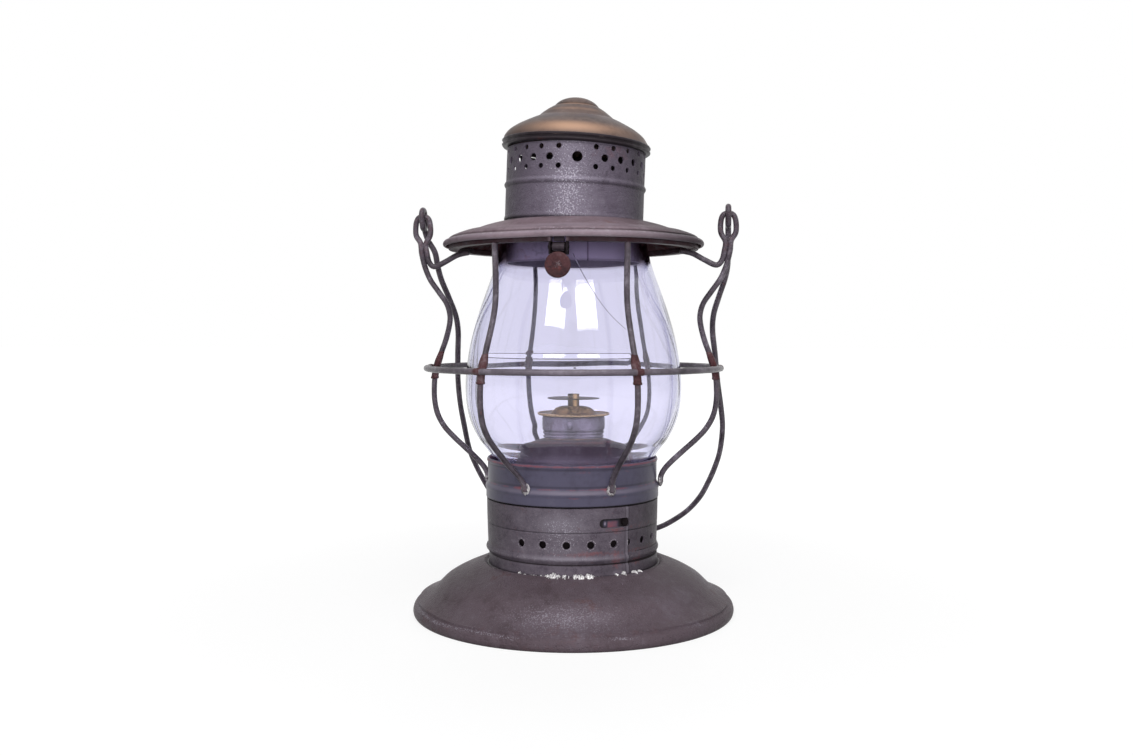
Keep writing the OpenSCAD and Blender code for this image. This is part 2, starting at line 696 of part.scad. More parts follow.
module latch_disc() {
    rim = latch_disc_r;
    t = latch_disc_t;
    color([0.4, 0.22, 0.17]) translate([0, latch_y - 0.46 * latch_w, latch_disc_z]) rotate([90, 0, 0]) {
        cylinder(h = t, r = rim, $fn = 48);
        translate([0, 0, t]) cylinder(h = t / 2, r1 = 0.87 * rim, r2 = 0.57 * rim, $fn = 48);
    }
}

// Pieces of the lid

module lid_brim() {
    edge = [[brim_r - 1.5 * brim_t, brim_z - 0.973 * brim_h]];
    color([0.42, 0.36, 0.36]) turned(concat(brim_over, edge, brim_under,
        [[chimney_r, brim_z - brim_t], [chimney_r, brim_z]]));
}

module lid_catch() {
    w = 0.86 * latch_w;
    t = brim_t;
    foot_z = brim_z - brim_h;
    roof_z = brim_z + brim_h;
    color([0.3, 0.24, 0.23]) difference() {
        union() {
            translate([-w / 2, latch_y + 2.1 * t, foot_z]) cube([w, t, brim_h / 2]);
            translate([-w / 2, latch_y + 1.3 * t, foot_z]) cube([w, t, t]);
        }
        turned(concat([for (i = [1:4]) brim_under[i]],
            [[brim_under[4][0], roof_z], [brim_under[1][0], roof_z]]));
    }
}

module hinge_leaf_lid() {
    rise = brim_z - brim_h + knuckle_r + 2 * edge_gap - hinge_z;
    t = 0.7 * knuckle_r;
    color([0.36, 0.29, 0.28]) difference() {
        for (s = [-1, 1]) translate([s * (hinge_w / 2 + edge_gap + hinge_end / 2), 0, hinge_z]) {
            translate([0, hinge_y, 0]) bar_x(hinge_end, knuckle_r);
            translate([-hinge_end / 2, hinge_y - 2 * knuckle_r, rise - t])
                cube([hinge_end, 1.9 * knuckle_r, t]);
            translate([-hinge_end / 2, hinge_y - 0.9 * knuckle_r, knuckle_r / 2])
                cube([hinge_end, 0.87 * knuckle_r, rise - knuckle_r / 2]);
        }
        cylinder(h = 2 * brim_z, r = brim_r, $fn = 96);
        translate([0, hinge_y, hinge_z]) bar_x(4 * hinge_w, hinge_pin_r + pin_fit);
    }
}

// One row of vents, leaving out those nearer than skip steps to the large vent.
module vent_row(z, d, skip) {
    for (k = [skip:1:vent_count - skip]) at(vent_az + k * 360 / vent_count)
        translate([0, -chimney_r - 3 * sheet, z]) rotate([-90, 0, 0])
            cylinder(h = 6 * sheet, d = d, $fn = 16);
}

module chimney() {
    in_r = chimney_r - sheet;
    foot_z = brim_z - 2 * brim_t;
    fillet = 2.8;
    color([0.47, 0.43, 0.46]) difference() {
        turned(concat([[in_r, foot_z], [chimney_r, foot_z], [chimney_r, brim_z],
            [chimney_r + fillet / 3, brim_z], [chimney_r + fillet / 7, brim_z + 0.64 * fillet],
            [chimney_r, brim_z + fillet]], beaded(chimney_r, brim_z + chimney_bead),
            [[chimney_r, chimney_top_z], [in_r, chimney_top_z]]));
        vent_row(vent_z, vent_d, 1.5);
        vent_row(vent_z + vent_step, small_vent_d, 1);
        vent_row(vent_z - vent_step, small_vent_d, 1);
        at(vent_az) translate([0, 0, vent_z]) through(chimney_r, large_vent_d);
    }
}

module cap_rim() {
    lap = 0.4 * cap_lap;
    color([0.2, 0.16, 0.15]) turned(concat([[chimney_r - sheet, chimney_top_z]],
        [for (p = [[-0.3, 0], [0.8, 0.2], [1.2, 0.58], [0.7, 0.83], [1.2, 1.08], [1, 1.5], [0, 1.67]])
            [cap_r + p[0] * lap, chimney_top_z + p[1] * rim_h]],
        [[cap_r, cap_z], [chimney_r - sheet, cap_z]]));
}

// The cap's outline by shares of its half width and height, from the tip to its edge.
module chimney_cap() {
    over = path([0, cap_z], [cap_r, cap_z + cap_h],
        [[0, 1], [0.098, 0.977], [0.19, 0.918], [0.272, 0.84], [0.348, 0.758], [0.454, 0.656],
        [0.549, 0.563], [0.685, 0.465], [0.821, 0.355], [0.897, 0.281], [0.962, 0.18],
        [0.995, 0.086], [1, 0]]);
    color([0.62, 0.48, 0.25]) turned(concat(over, [[cap_r - cap_t, cap_z]],
        under([for (i = [0:len(over) - 2]) over[i]], cap_t)));
}

module draft_tube() {
    wall_r = chimney_r - sheet;
    in_r = draft_r - sheet;
    foot_z = band_z - draft_drop;
    color([0.4, 0.37, 0.38])
        turned([[in_r, foot_z], [draft_r, foot_z], [draft_r, brim_z - 2.7 * brim_t],
            [wall_r, brim_z - 1.8 * brim_t], [wall_r, brim_z - 0.9 * brim_t],
            [in_r, brim_z - 1.8 * brim_t]]);
}

// The bail

// Closed loop round the top wire of an eye, its axis along X.
module bail_loop() {
    for (s = [0, 1]) translate([0, 0, -s * loop_leg]) rotate([0, 90, 0]) rotate([0, 0, 90 + 180 * s])
        rotate_extrude(angle = 180, $fn = 64) translate([loop_r, 0]) circle(d = bail_d, $fn = 24);
    for (s = [-1, 1]) translate([0, s * loop_r, -loop_leg])
        cylinder(h = loop_leg, d = bail_d, $fn = 24);
}

module bail() {
    right = [for (p = bail_pts) [p[0] + bail_set(p[1]), -p[1]]];
    left = [for (p = reversed(bail_pts)) [-p[0] + bail_set(p[1]), -p[1]]];
    grip = [[bail_set(bail_len), -bail_len]];
    color([0.27, 0.19, 0.16]) translate([0, 0, ear_z]) rotate([bail_lean, 0, 0]) union() {
        wire(smooth(concat(right, grip, left), 2), bail_d);
        for (s = [-1, 1]) translate([s * ear_x, 0, 0]) bail_loop();
    }
}

bell_base();
base_solder();
base_collar();
fount_pot();
fount_body();
fount_top();
fount_neck();
burner_collar();
burner_rivet();
burner_plate();
wick_tube();
flame_disc();
raiser_shaft();
raiser_wheel();
raiser_knob();
wick();
frame_collar();
lock_sleeve();
lock_studs();
globe_seat();
globe();
guard_ring();
guard_wire_front_left();
guard_wire_front_right();
guard_wire_rear_right();
guard_wire_rear_left();
side_wire_left();
side_wire_right();
ring_clips();
wire_solder();
top_band();
hinge_leaf_frame();
hinge_pin();
latch_bracket();
latch_pin();
latch_lever();
latch_disc();
lid_brim();
lid_catch();
hinge_leaf_lid();
chimney();
cap_rim();
chimney_cap();
draft_tube();
bail();
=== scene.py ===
"""Railroad lantern: the looks of its sheet metal, wire, glass and brass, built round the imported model.

The lantern's lengths are in millimetres until a surface becomes a mesh, the studio's in metres. The
front, with the thumb latch, faces -Y, and azimuths are counted from the front towards +X.
"""

import logging
import math
from collections.abc import Callable, Sequence
from dataclasses import dataclass, field
from enum import Enum

import bmesh
import bpy
import numpy as np
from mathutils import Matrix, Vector


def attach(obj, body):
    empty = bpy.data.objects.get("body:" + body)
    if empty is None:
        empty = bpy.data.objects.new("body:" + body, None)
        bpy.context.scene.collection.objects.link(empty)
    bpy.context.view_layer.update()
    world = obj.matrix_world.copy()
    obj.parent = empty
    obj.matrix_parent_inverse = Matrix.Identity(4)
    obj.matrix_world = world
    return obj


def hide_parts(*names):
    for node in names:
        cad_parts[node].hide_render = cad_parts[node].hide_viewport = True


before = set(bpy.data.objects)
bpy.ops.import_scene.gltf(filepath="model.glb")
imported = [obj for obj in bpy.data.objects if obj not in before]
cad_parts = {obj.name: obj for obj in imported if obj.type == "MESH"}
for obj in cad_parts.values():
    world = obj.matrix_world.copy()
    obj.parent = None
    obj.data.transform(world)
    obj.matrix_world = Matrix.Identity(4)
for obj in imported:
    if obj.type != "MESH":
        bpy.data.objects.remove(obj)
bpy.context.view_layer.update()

LOG = logging.getLogger("lantern")
MM = 0.001
COLLAR_SHIFT = 0.6
"""How far the collars stand to the left of the axis of the bell, in mm."""
WIRE_AZIMUTHS = (-30.0, 30.0, 90.0, 150.0, 210.0, 270.0)
"""About where the six upright wires cross the guard ring, in degrees from the front."""
Colour = tuple[float, float, float]
Array = np.ndarray


# Curves and surfaces


def smooth_curve(points: Sequence[Sequence[float]], per_span: int = 6, closed: bool = False) -> Array:
    """A uniform Catmull-Rom curve through the points.

    Each span is the cubic 0.5 * (2b + (c - a)t + (2a - 5b + 4c - d)t^2 + (3b - a - 3c + d)t^3).

    Args:
        points: The points that the curve passes through.
        per_span: How many steps lie between two of them.
        closed: Whether the last point runs on into the first.

    Returns:
        The curve as an array with one row for each point.
    """
    p = np.asarray(points, float)
    if closed:
        q = np.concatenate([p[-1:], p, p[:2]])
    else:
        q = np.concatenate([p[:1], p, p[-1:]])
    a, b, c, d = q[:-3, None], q[1:-2, None], q[2:-1, None], q[3:, None]
    t = (np.arange(per_span) / per_span)[None, :, None]
    s = 0.5 * (2 * b + (c - a) * t + (2 * a - 5 * b + 4 * c - d) * t**2 + (3 * b - a - 3 * c + d) * t**3)
    s = s.reshape(-1, p.shape[1])
    return s if closed else np.concatenate([s, p[-1:]])


def evened(curve: Array, count: int, closed: bool = False) -> Array:
    """The same curve with its points at equal distances along it."""
    c = np.concatenate([curve, curve[:1]]) if closed else curve
    run = np.concatenate([[0.0], np.cumsum(np.linalg.norm(np.diff(c, axis=0), axis=1))])
    at = np.linspace(0, run[-1], count + 1)[:-1] if closed else np.linspace(0, run[-1], count)
    return np.stack([np.interp(at, run, c[:, k]) for k in range(c.shape[1])], axis=1)


def rounded(points: Sequence[Sequence[float]], radius: float | Sequence[float], steps: int = 4) -> Array:
    """A closed outline whose corners are eased by quadratic arcs.

    Each corner b between a and c becomes the curve (1-t)^2 p + 2t(1-t) b + t^2 q, where p and q lie
    radius away from b on its two sides, or at most 0.45 of the side's length.

    Args:
        points: The outline's corners in order.
        radius: One reach for all corners, or one for each.
        steps: How many steps an eased corner has.

    Returns:
        The eased outline.
    """
    b = np.asarray(points, float)
    a, c = np.roll(b, 1, axis=0), np.roll(b, -1, axis=0)
    r = np.broadcast_to(np.asarray(radius, float), (len(b),))[:, None]
    back, on = a - b, c - b
    lb = np.linalg.norm(back, axis=1, keepdims=True)
    lo = np.linalg.norm(on, axis=1, keepdims=True)
    p = b + back / lb * np.minimum(r, 0.45 * lb)
    q = b + on / lo * np.minimum(r, 0.45 * lo)
    t = np.linspace(0, 1, steps + 1)[None, :, None]
    arcs = (1 - t) ** 2 * p[:, None] + 2 * t * (1 - t) * b[:, None] + t**2 * q[:, None]
    out = arcs.reshape(-1, b.shape[1])
    keep = np.linalg.norm(out - np.roll(out, 1, axis=0), axis=1) > 1e-5
    return out[keep]


def shares(start: Sequence[float], end: Sequence[float], parts: Sequence[Sequence[float]]) -> Array:
    """Points at the given shares of the way from start to end, coordinate by coordinate."""
    s, e = np.asarray(start, float), np.asarray(end, float)
    return s + (e - s) * np.asarray(parts, float)


def offset(curve: Array, distance: float) -> Array:
    """An open profile moved sideways, to its right where it runs, by a distance."""
    d = np.gradient(curve, axis=0)
    d /= np.linalg.norm(d, axis=1, keepdims=True)
    return curve + distance * np.stack([d[:, 1], -d[:, 0]], axis=1)


def eased(x: Array, low: float, high: float) -> Array:
    """Smooth step from 0 at low to 1 at high: 3t^2 - 2t^3 of the clamped share t."""
    t = np.clip((x - low) / (high - low), 0, 1)
    return t * t * (3 - 2 * t)


def faded(x: Array, low: float, high: float) -> Array:
    """Smooth step from 1 at low to 0 at high."""
    return 1 - eased(x, low, high)


def bump(x: Array, middle: float, half: float) -> Array:
    """A bell: (1 - u^2)^2 where u is the distance from the middle over the half width."""
    u = np.clip(np.abs(x - middle) / half, 0, 1)
    return (1 - u * u) ** 2


def peaks(x: Array, *parts: tuple[float, float, float]) -> Array:
    """The sum of bumps along one coordinate, each given as (height, middle, half width)."""
    return sum(height * bump(x, middle, half) for height, middle, half in parts)


def glow(x: Array, middle: float, width: float) -> Array:
    """A Gaussian hump: exp(-u^2) where u is the distance from the middle over the width."""
    return np.exp(-(((x - middle) / width) ** 2))


def beside(az: Array, azimuth: float) -> Array:
    """Angles from one azimuth, between -180 and 180 degrees."""
    return ((az - azimuth + 180) % 360) - 180


def side_shade(az: Array) -> Array:
    """Share of painted shade on the two sides of the lantern, none in front and at the back."""
    return bump(np.abs(az - 5), 78, 48)


def ripple(a: Array, z: Array, seed: int, waves: int = 7) -> Array:
    """Smooth seamless unevenness, mostly between -1 and 1, over azimuth a (radians) and height z (mm).

    It is 1.6 times the mean of sines sin(k a + m z + phase) with whole numbers k, so that it closes
    round the axis, and with small slopes m.
    """
    rng = np.random.default_rng(seed)
    k = rng.integers(1, 9, waves)
    m = rng.uniform(-0.16, 0.16, waves)
    ph = rng.uniform(0, 2 * math.pi, waves)
    return np.mean([np.sin(k[i] * a + m[i] * z + ph[i]) for i in range(waves)], axis=0) * 1.6


def quads(rows: int, cols: int, wrap_rows: bool, wrap_cols: bool) -> Array:
    """Corner numbers of the quads on a grid of rows x cols points, row by row."""
    i = np.arange(rows if wrap_rows else rows - 1)[:, None]
    j = np.arange(cols if wrap_cols else cols - 1)[None, :]
    i1, j1 = (i + 1) % rows, (j + 1) % cols
    grid = [i * cols + j, i * cols + j1, i1 * cols + j1, i1 * cols + j]
    return np.stack([np.broadcast_to(g, (i.shape[0], j.shape[1])) for g in grid], -1).reshape(-1, 4)


@dataclass
class Surface:
    """A closed surface: points in millimetres, faces as corner numbers, and masks for its finish."""

    points: Array
    faces: list[list[int]]
    masks: dict[str, Array] = field(default_factory=dict)

    def azimuth(self) -> Array:
        """Azimuth of each point from the front, in degrees."""
        return np.degrees(np.arctan2(self.points[:, 0], -self.points[:, 1]))

    def radius(self) -> Array:
        """Distance of each point from the lantern's axis."""
        return np.hypot(self.points[:, 0], self.points[:, 1])

    def polar(self) -> tuple[Array, Array, Array]:
        """Azimuth, distance from the axis and height of each point."""
        return self.azimuth(), self.radius(), self.points[:, 2]

    def marks(self, **masks: Array | float) -> "Surface":
        """Keeps masks between 0 and 1, one value or one for each point, for the materials to read."""
        for name, values in masks.items():
            self.masks[name] = np.clip(values, 0, 1) * np.ones(len(self.points))
        return self

    def turned(self, azimuth: float) -> "Surface":
        """The surface turned about the lantern's axis, azimuth degrees to the right."""
        a = math.radians(azimuth)
        rot = np.array([[math.cos(a), -math.sin(a), 0], [math.sin(a), math.cos(a), 0], [0, 0, 1]])
        return Surface(self.points @ rot.T, self.faces, dict(self.masks))

    def placed(self, place: Callable[[Array], Array]) -> "Surface":
        """The surface with its points put in place by a function."""
        return Surface(place(self.points), self.faces, dict(self.masks))

    def outward(self) -> "Surface":
        """The surface with its faces turned outwards."""
        if signed_volume(self.points, self.faces) > 0:
            return self
        return Surface(self.points, [f[::-1] for f in self.faces], dict(self.masks))

    def leant(self, degrees: float, z: float) -> "Surface":
        """The surface leant to the right by an angle about a line along Y at height z."""
        a = math.radians(degrees)
        rot = np.array([[math.cos(a), 0, math.sin(a)], [0, 1, 0], [-math.sin(a), 0, math.cos(a)]])
        at = np.array([0, 0, z])
        return Surface((self.points - at) @ rot.T + at, self.faces, dict(self.masks))

    def pushed(self, amount: Array) -> "Surface":
        """The surface moved outwards from the lantern's axis by an amount for each point."""
        r = np.maximum(self.radius(), 1e-9)
        p = self.points.copy()
        p[:, :2] *= ((r + amount) / r)[:, None]
        return Surface(p, self.faces, dict(self.masks))


def joined(surfaces: Sequence[Surface]) -> Surface:
    """Several closed surfaces as one, each turned outwards, with all their masks."""
    surfaces = [s.outward() for s in surfaces]
    start = np.cumsum([0] + [len(s.points) for s in surfaces[:-1]])
    faces = [[k + int(n) for k in f] for n, s in zip(start, surfaces) for f in s.faces]
    names = sorted({m for s in surfaces for m in s.masks})
    masks = {m: np.concatenate([s.masks.get(m, np.zeros(len(s.points))) for s in surfaces]) for m in names}
    return Surface(np.concatenate([s.points for s in surfaces]), faces, masks)


def lathed(profile: Array, segments: int = 192, extra: Sequence[float] = ()) -> Surface:
    """A closed outline (radius, height) turned about the upright axis.

    The point for outline row i and step j is (r_i sin a_j, -r_i cos a_j, z_i).

    Args:
        profile: The outline's corners.
        segments: How many even steps go round.
        extra: More azimuths in degrees, for edges that run up the wall.

    Returns:
        The closed surface.
    """
    a = np.unique(np.concatenate([np.arange(segments) * (2 * math.pi / segments),
                                  np.radians(np.asarray(extra, float) % 360)]))
    segments = len(a)
    r, z = profile[:, :1], profile[:, 1:2]
    pts = np.stack([r * np.sin(a), -r * np.cos(a), np.broadcast_to(z, (len(profile), segments))], -1)
    return Surface(pts.reshape(-1, 3), quads(len(profile), segments, True, True).tolist())


def capped(rings: Array, sides: int, tips: Sequence[Sequence[float]]) -> Surface:
    """Rings of points joined row by row, closed at each end by a fan of triangles to a tip.

    Args:
        rings: The points of all rings, one ring after the other.
        sides: How many points a ring has.
        tips: The middle point of the first end and of the last one.

    Returns:
        The closed surface.
    """
    n = len(rings)
    j = np.arange(sides)
    on = (j + 1) % sides
    first = np.stack([np.full(sides, n), on, j], 1)
    last = np.stack([np.full(sides, n + 1), n - sides + j, n - sides + on], 1)
    faces = quads(n // sides, sides, False, True).tolist() + first.tolist() + last.tolist()
    return Surface(np.concatenate([rings, np.asarray(tips, float)]), faces)


def domed(profile: Array, segments: int = 192) -> Surface:
    """An outline (radius, height) that starts and ends on the axis, turned into a closed shell.

    The rings are those of lathed(), and each end on the axis is one point with a fan of triangles.
    """
    ring = lathed(profile[1:-1], segments)
    return capped(ring.points, segments, [[0, 0, profile[0, 1]], [0, 0, profile[-1, 1]]])


def frames_along(path: Array, closed: bool, up: Array) -> tuple[Array, Array, Array]:
    """Tangents and two crosswise directions along a path, carried on without twist.

    The first crosswise direction is up less its part along the tangent, and each later one is the
    one before it less its part along the new tangent.
    """
    if closed:
        t = np.roll(path, -1, axis=0) - np.roll(path, 1, axis=0)
    else:
        t = np.gradient(path, axis=0)
    t /= np.linalg.norm(t, axis=1, keepdims=True)
    side = np.empty_like(path)
    v = np.asarray(up, float)
    for i in range(len(path)):
        v = v - t[i] * float(v @ t[i])
        v = v / np.linalg.norm(v)
        side[i] = v
    return t, side, np.cross(t, side)


def tube(path: Array, radius: float | Array, sides: int = 16, closed: bool = False,
         up: Sequence[float] = (0.0, 1.0, 0.0), flat: Array | None = None) -> Surface:
    """A round bar along a path, with eased ends if the path is open.

    The point on station i and side j is path_i + r_i (cos b_j u_i + sin b_j w_i), with u and w from
    frames_along. At an open end three more rings shrink to a point along a flattened quarter circle.

    Args:
        path: The points of the bar's middle line.
        radius: One radius, or one for each station.
        sides: How many sides the bar has.
        closed: Whether the bar closes on itself.
        up: The direction from which the crosswise frame starts.
        flat: Optional factor on the thickness along up, for each station.

    Returns:
        The closed surface of the bar.
    """
    t, u, w = frames_along(path, closed, np.asarray(up, float))
    r = np.broadcast_to(np.asarray(radius, float), (len(path),)).copy()
    f = np.ones(len(path)) if flat is None else flat
    if not closed:
        q = np.radians([80.0, 55.0, 28.0])
        head = path[0] - t[0] * (r[0] * np.sin(q) * 0.6)[:, None]
        tail = path[-1] + t[-1] * (r[-1] * np.sin(q[::-1]) * 0.6)[:, None]
        path = np.concatenate([head, path, tail])
        u = np.concatenate([np.repeat(u[:1], 3, 0), u, np.repeat(u[-1:], 3, 0)])
        w = np.concatenate([np.repeat(w[:1], 3, 0), w, np.repeat(w[-1:], 3, 0)])
        f = np.concatenate([np.repeat(f[:1], 3), f, np.repeat(f[-1:], 3)])
        r = np.concatenate([r[0] * np.cos(q), r, r[-1] * np.cos(q[::-1])])
    b = np.arange(sides) * (2 * math.pi / sides)
    rr = r[:, None, None]
    cos_b, sin_b = np.cos(b)[None, :, None], np.sin(b)[None, :, None]
    pts = path[:, None] + rr * (cos_b * f[:, None, None] * u[:, None] + sin_b * w[:, None])
    pts = pts.reshape(-1, 3)
    if closed:
        return Surface(pts, quads(len(path), sides, True, True).tolist())
    return capped(pts, sides, [path[0] - t[0] * r[0] * 0.05, path[-1] + t[-1] * r[-1] * 0.05])


def plate(outline: Array, low: float, high: float, place: Callable[[Array], Array]) -> Surface:
    """A flat outline given a thickness, with eased edges, and put in place by a function.

    Rings of the outline at six levels, the first and last two drawn in a little, close with a
    middle point at each end.
    """
    mid = outline.mean(0)
    t = high - low
    e = min(0.3 * t, 0.25)
    levels = ((low, 1), (low + 0.3 * e, 0.4), (low + e, 0), (high - e, 0), (high - 0.3 * e, 0.4), (high, 1))
    away = outline - mid
    dist = np.linalg.norm(away, axis=1, keepdims=True)
    rings = [np.column_stack([mid + away * (1 - s * e / dist), np.full(len(outline), h)]) for h, s in levels]
    return capped(np.concatenate(rings), len(outline), [[*mid, low], [*mid, high]]).placed(place)


def drum(radius: float, low: float, high: float, place: Callable[[Array], Array], sides: int = 48,
         ease: float = 0.3) -> Surface:
    """A short round bar along its own Z from low to high with eased rims, put in place."""
    prof = np.array([[0, low], [radius - ease, low], [radius - 0.3 * ease, low + 0.3 * ease],
                     [radius, low + ease], [radius, high - ease], [radius - 0.3 * ease, high - 0.3 * ease],
                     [radius - ease, high], [0, high]])
    return domed(prof, sides).placed(place)


def signed_volume(points: Array, faces: Sequence[Sequence[int]]) -> float:
    """Volume inside the faces, negative if they point inwards: sum of a . (b x c) / 6 over triangles."""
    tris = [(f[0], f[k], f[k + 1]) for f in faces for k in range(1, len(f) - 1)]
    t = points[np.asarray(tris)]
    return float(np.einsum("ij,ij->i", t[:, 0], np.cross(t[:, 1], t[:, 2])).sum() / 6)


def into_mesh(name: str, surface: Surface) -> bpy.types.Mesh:
    """A Blender mesh in metres from a surface, with its masks as point attributes."""
    surface = surface.outward()
    mesh = bpy.data.meshes.new(name)
    mesh.from_pydata((surface.points * MM).tolist(), [], surface.faces)
    for key, values in surface.masks.items():
        layer = mesh.attributes.new(key, "FLOAT", "POINT")
        layer.data.foreach_set("value", np.ascontiguousarray(values, np.float32))
    mesh.update()
    return mesh


def pierce(mesh: bpy.types.Mesh, cutters: Sequence[Surface]) -> bpy.types.Mesh:
    """The mesh with each cutter taken away from it by a Boolean modifier that is applied here."""
    body = bpy.data.objects.new("work_body", mesh)
    tool = bpy.data.objects.new("work_tool", into_mesh("work_tool", joined(cutters)))
    for o in (body, tool):
        bpy.context.scene.collection.objects.link(o)
    cut = body.modifiers.new("cut", "BOOLEAN")
    cut.operation, cut.object, cut.solver = "DIFFERENCE", tool, "EXACT"
    cut.use_self = False
    got = body.evaluated_get(bpy.context.evaluated_depsgraph_get())
    made = bpy.data.meshes.new_from_object(got)
    made.name = mesh.name
    bpy.data.objects.remove(body)
    bpy.data.objects.remove(tool)
    return made


def facing(z: float, y: float = 0.0) -> Callable[[Array], Array]:
    """The function that stands a shape drawn in X and Y upright, its thickness to the front."""
    return lambda p: np.column_stack([p[:, 0], y - p[:, 2], z + p[:, 1]])


def round_cutter(azimuth: float, z: float, diameter: float, radius: float, depth: float = 3.0) -> Surface:
    """A round peg that crosses a wall of a given radius at an azimuth and height."""
    return drum(diameter / 2, radius - depth, radius + depth, facing(z), sides=28, ease=0.01).turned(azimuth)


# Finishes


Socket = bpy.types.NodeSocket


class Sketch:
    """A short way to lay out shader nodes in one node tree."""

    def __init__(self, tree: bpy.types.NodeTree) -> None:
        """Starts with an empty tree."""
        self.tree = tree
        tree.nodes.clear()

    def join(self, value: object, socket: Socket) -> None:
        """Links a socket into another one, or sets that one to a plain value.

        Args:
            value: A socket, a number, or a colour of three or four numbers.
            socket: The socket that takes it.
        """
        if isinstance(value, bpy.types.NodeSocket):
            self.tree.links.new(value, socket)
        elif isinstance(value, tuple) and len(value) == 3 and socket.type == "RGBA":
            socket.default_value = (*value, 1.0)
        else:
            socket.default_value = value

    def fill(self, n: bpy.types.Node, **inputs: object) -> bpy.types.Node:
        """Gives a node its sockets, by name with underscores for spaces or by number as i0, i1."""
        for key, value in inputs.items():
            numbered = key[0] == "i" and key[1:].isdigit()
            self.join(value, n.inputs[int(key[1:])] if numbered else n.inputs[key.replace("_", " ")])
        return n

    def node(self, kind: str, **inputs: object) -> bpy.types.Node:
        """Adds a node, sets its plain fields and then its sockets.

        Args:
            kind: The node's type without the leading ShaderNode.
            **inputs: Fields of the node, and its sockets as fill() takes them.

        Returns:
            The new node.
        """
        n = self.tree.nodes.new("ShaderNode" + kind)
        fields = {k: v for k, v in inputs.items() if hasattr(n, k) and not isinstance(v, Socket)}
        for key, value in fields.items():
            setattr(n, key, value)
        return self.fill(n, **{k: v for k, v in inputs.items() if k not in fields})

    def math(self, op: str, a: object, b: object = 0.0, c: object = 0.0, clamp: bool = False) -> Socket:
        """A Math node's result."""
        return self.node("Math", operation=op, use_clamp=clamp, i0=a, i1=b, i2=c).outputs[0]

    def plus(self, a: object, b: object, clamp: bool = False) -> Socket:
        """a + b."""
        return self.math("ADD", a, b, clamp=clamp)

    def less(self, a: object, b: object) -> Socket:
        """a - b."""
        return self.math("SUBTRACT", a, b)

    def times(self, a: object, b: object, clamp: bool = False) -> Socket:
        """a * b."""
        return self.math("MULTIPLY", a, b, clamp=clamp)

    def times_plus(self, a: object, b: object, c: object, clamp: bool = False) -> Socket:
        """a * b + c."""
        return self.math("MULTIPLY_ADD", a, b, c, clamp)

    def step(self, x: object, low: float, high: float) -> Socket:
        """x mapped smoothly from low..high to 0..1."""
        return self.node("MapRange", interpolation_type="SMOOTHSTEP", i0=x, i1=low, i2=high).outputs[0]

    def blend(self, share: object, a: object, b: object) -> Socket:
        """Colour a mixed towards colour b by a share."""
        return self.node("Mix", data_type="RGBA", i0=share, i6=a, i7=b).outputs[2]

    def noise(self, where: Socket, scale: object, detail: float = 3.0, rough: float = 0.55) -> Socket:
        """Noise between about 0.25 and 0.75."""
        return self.node("TexNoise", i0=where, Scale=scale, Detail=detail, Roughness=rough).outputs[0]

    def where(self) -> Socket:
        """The point's place in the object's own coordinates, in metres."""
        return self.node("TexCoord").outputs["Object"]

    def mask(self, name: str) -> Socket:
        """The mesh's mask of a name."""
        return self.node("Attribute", attribute_name=name).outputs["Fac"]

    def seen(self) -> Socket:
        """1 for rays from the camera and for what gloss and glass show, else 0."""
        path = self.node("LightPath").outputs
        bounce = self.math("MAXIMUM", path["Is Glossy Ray"], path["Is Transmission Ray"])
        return self.math("MAXIMUM", path["Is Camera Ray"], bounce)


def new_group(name: str, inputs: dict[str, float | Colour], colour: str = "",
              values: Sequence[str] = ()) -> tuple[Sketch, bpy.types.Node, bpy.types.Node]:
    """A shader node group with named sockets.

    Args:
        name: The group's name.
        inputs: Its inputs and their usual values, a number or a colour.
        colour: The name of its colour output, if it has one.
        values: The names of its outputs that are numbers.

    Returns:
        A sketch of the group, and its input and output nodes.
    """
    tree = bpy.data.node_groups.new(name, "ShaderNodeTree")
    for label, value in inputs.items():
        kind = "Color" if isinstance(value, tuple) else "Float"
        s = tree.interface.new_socket(label, in_out="INPUT", socket_type="NodeSocket" + kind)
        s.default_value = (*value, 1.0) if kind == "Color" else value
    outputs = ([(colour, "Color")] if colour else []) + [(v, "Float") for v in values]
    for label, kind in outputs:
        tree.interface.new_socket(label, in_out="OUTPUT", socket_type="NodeSocket" + kind)
    return Sketch(tree), tree.nodes.new("NodeGroupInput"), tree.nodes.new("NodeGroupOutput")


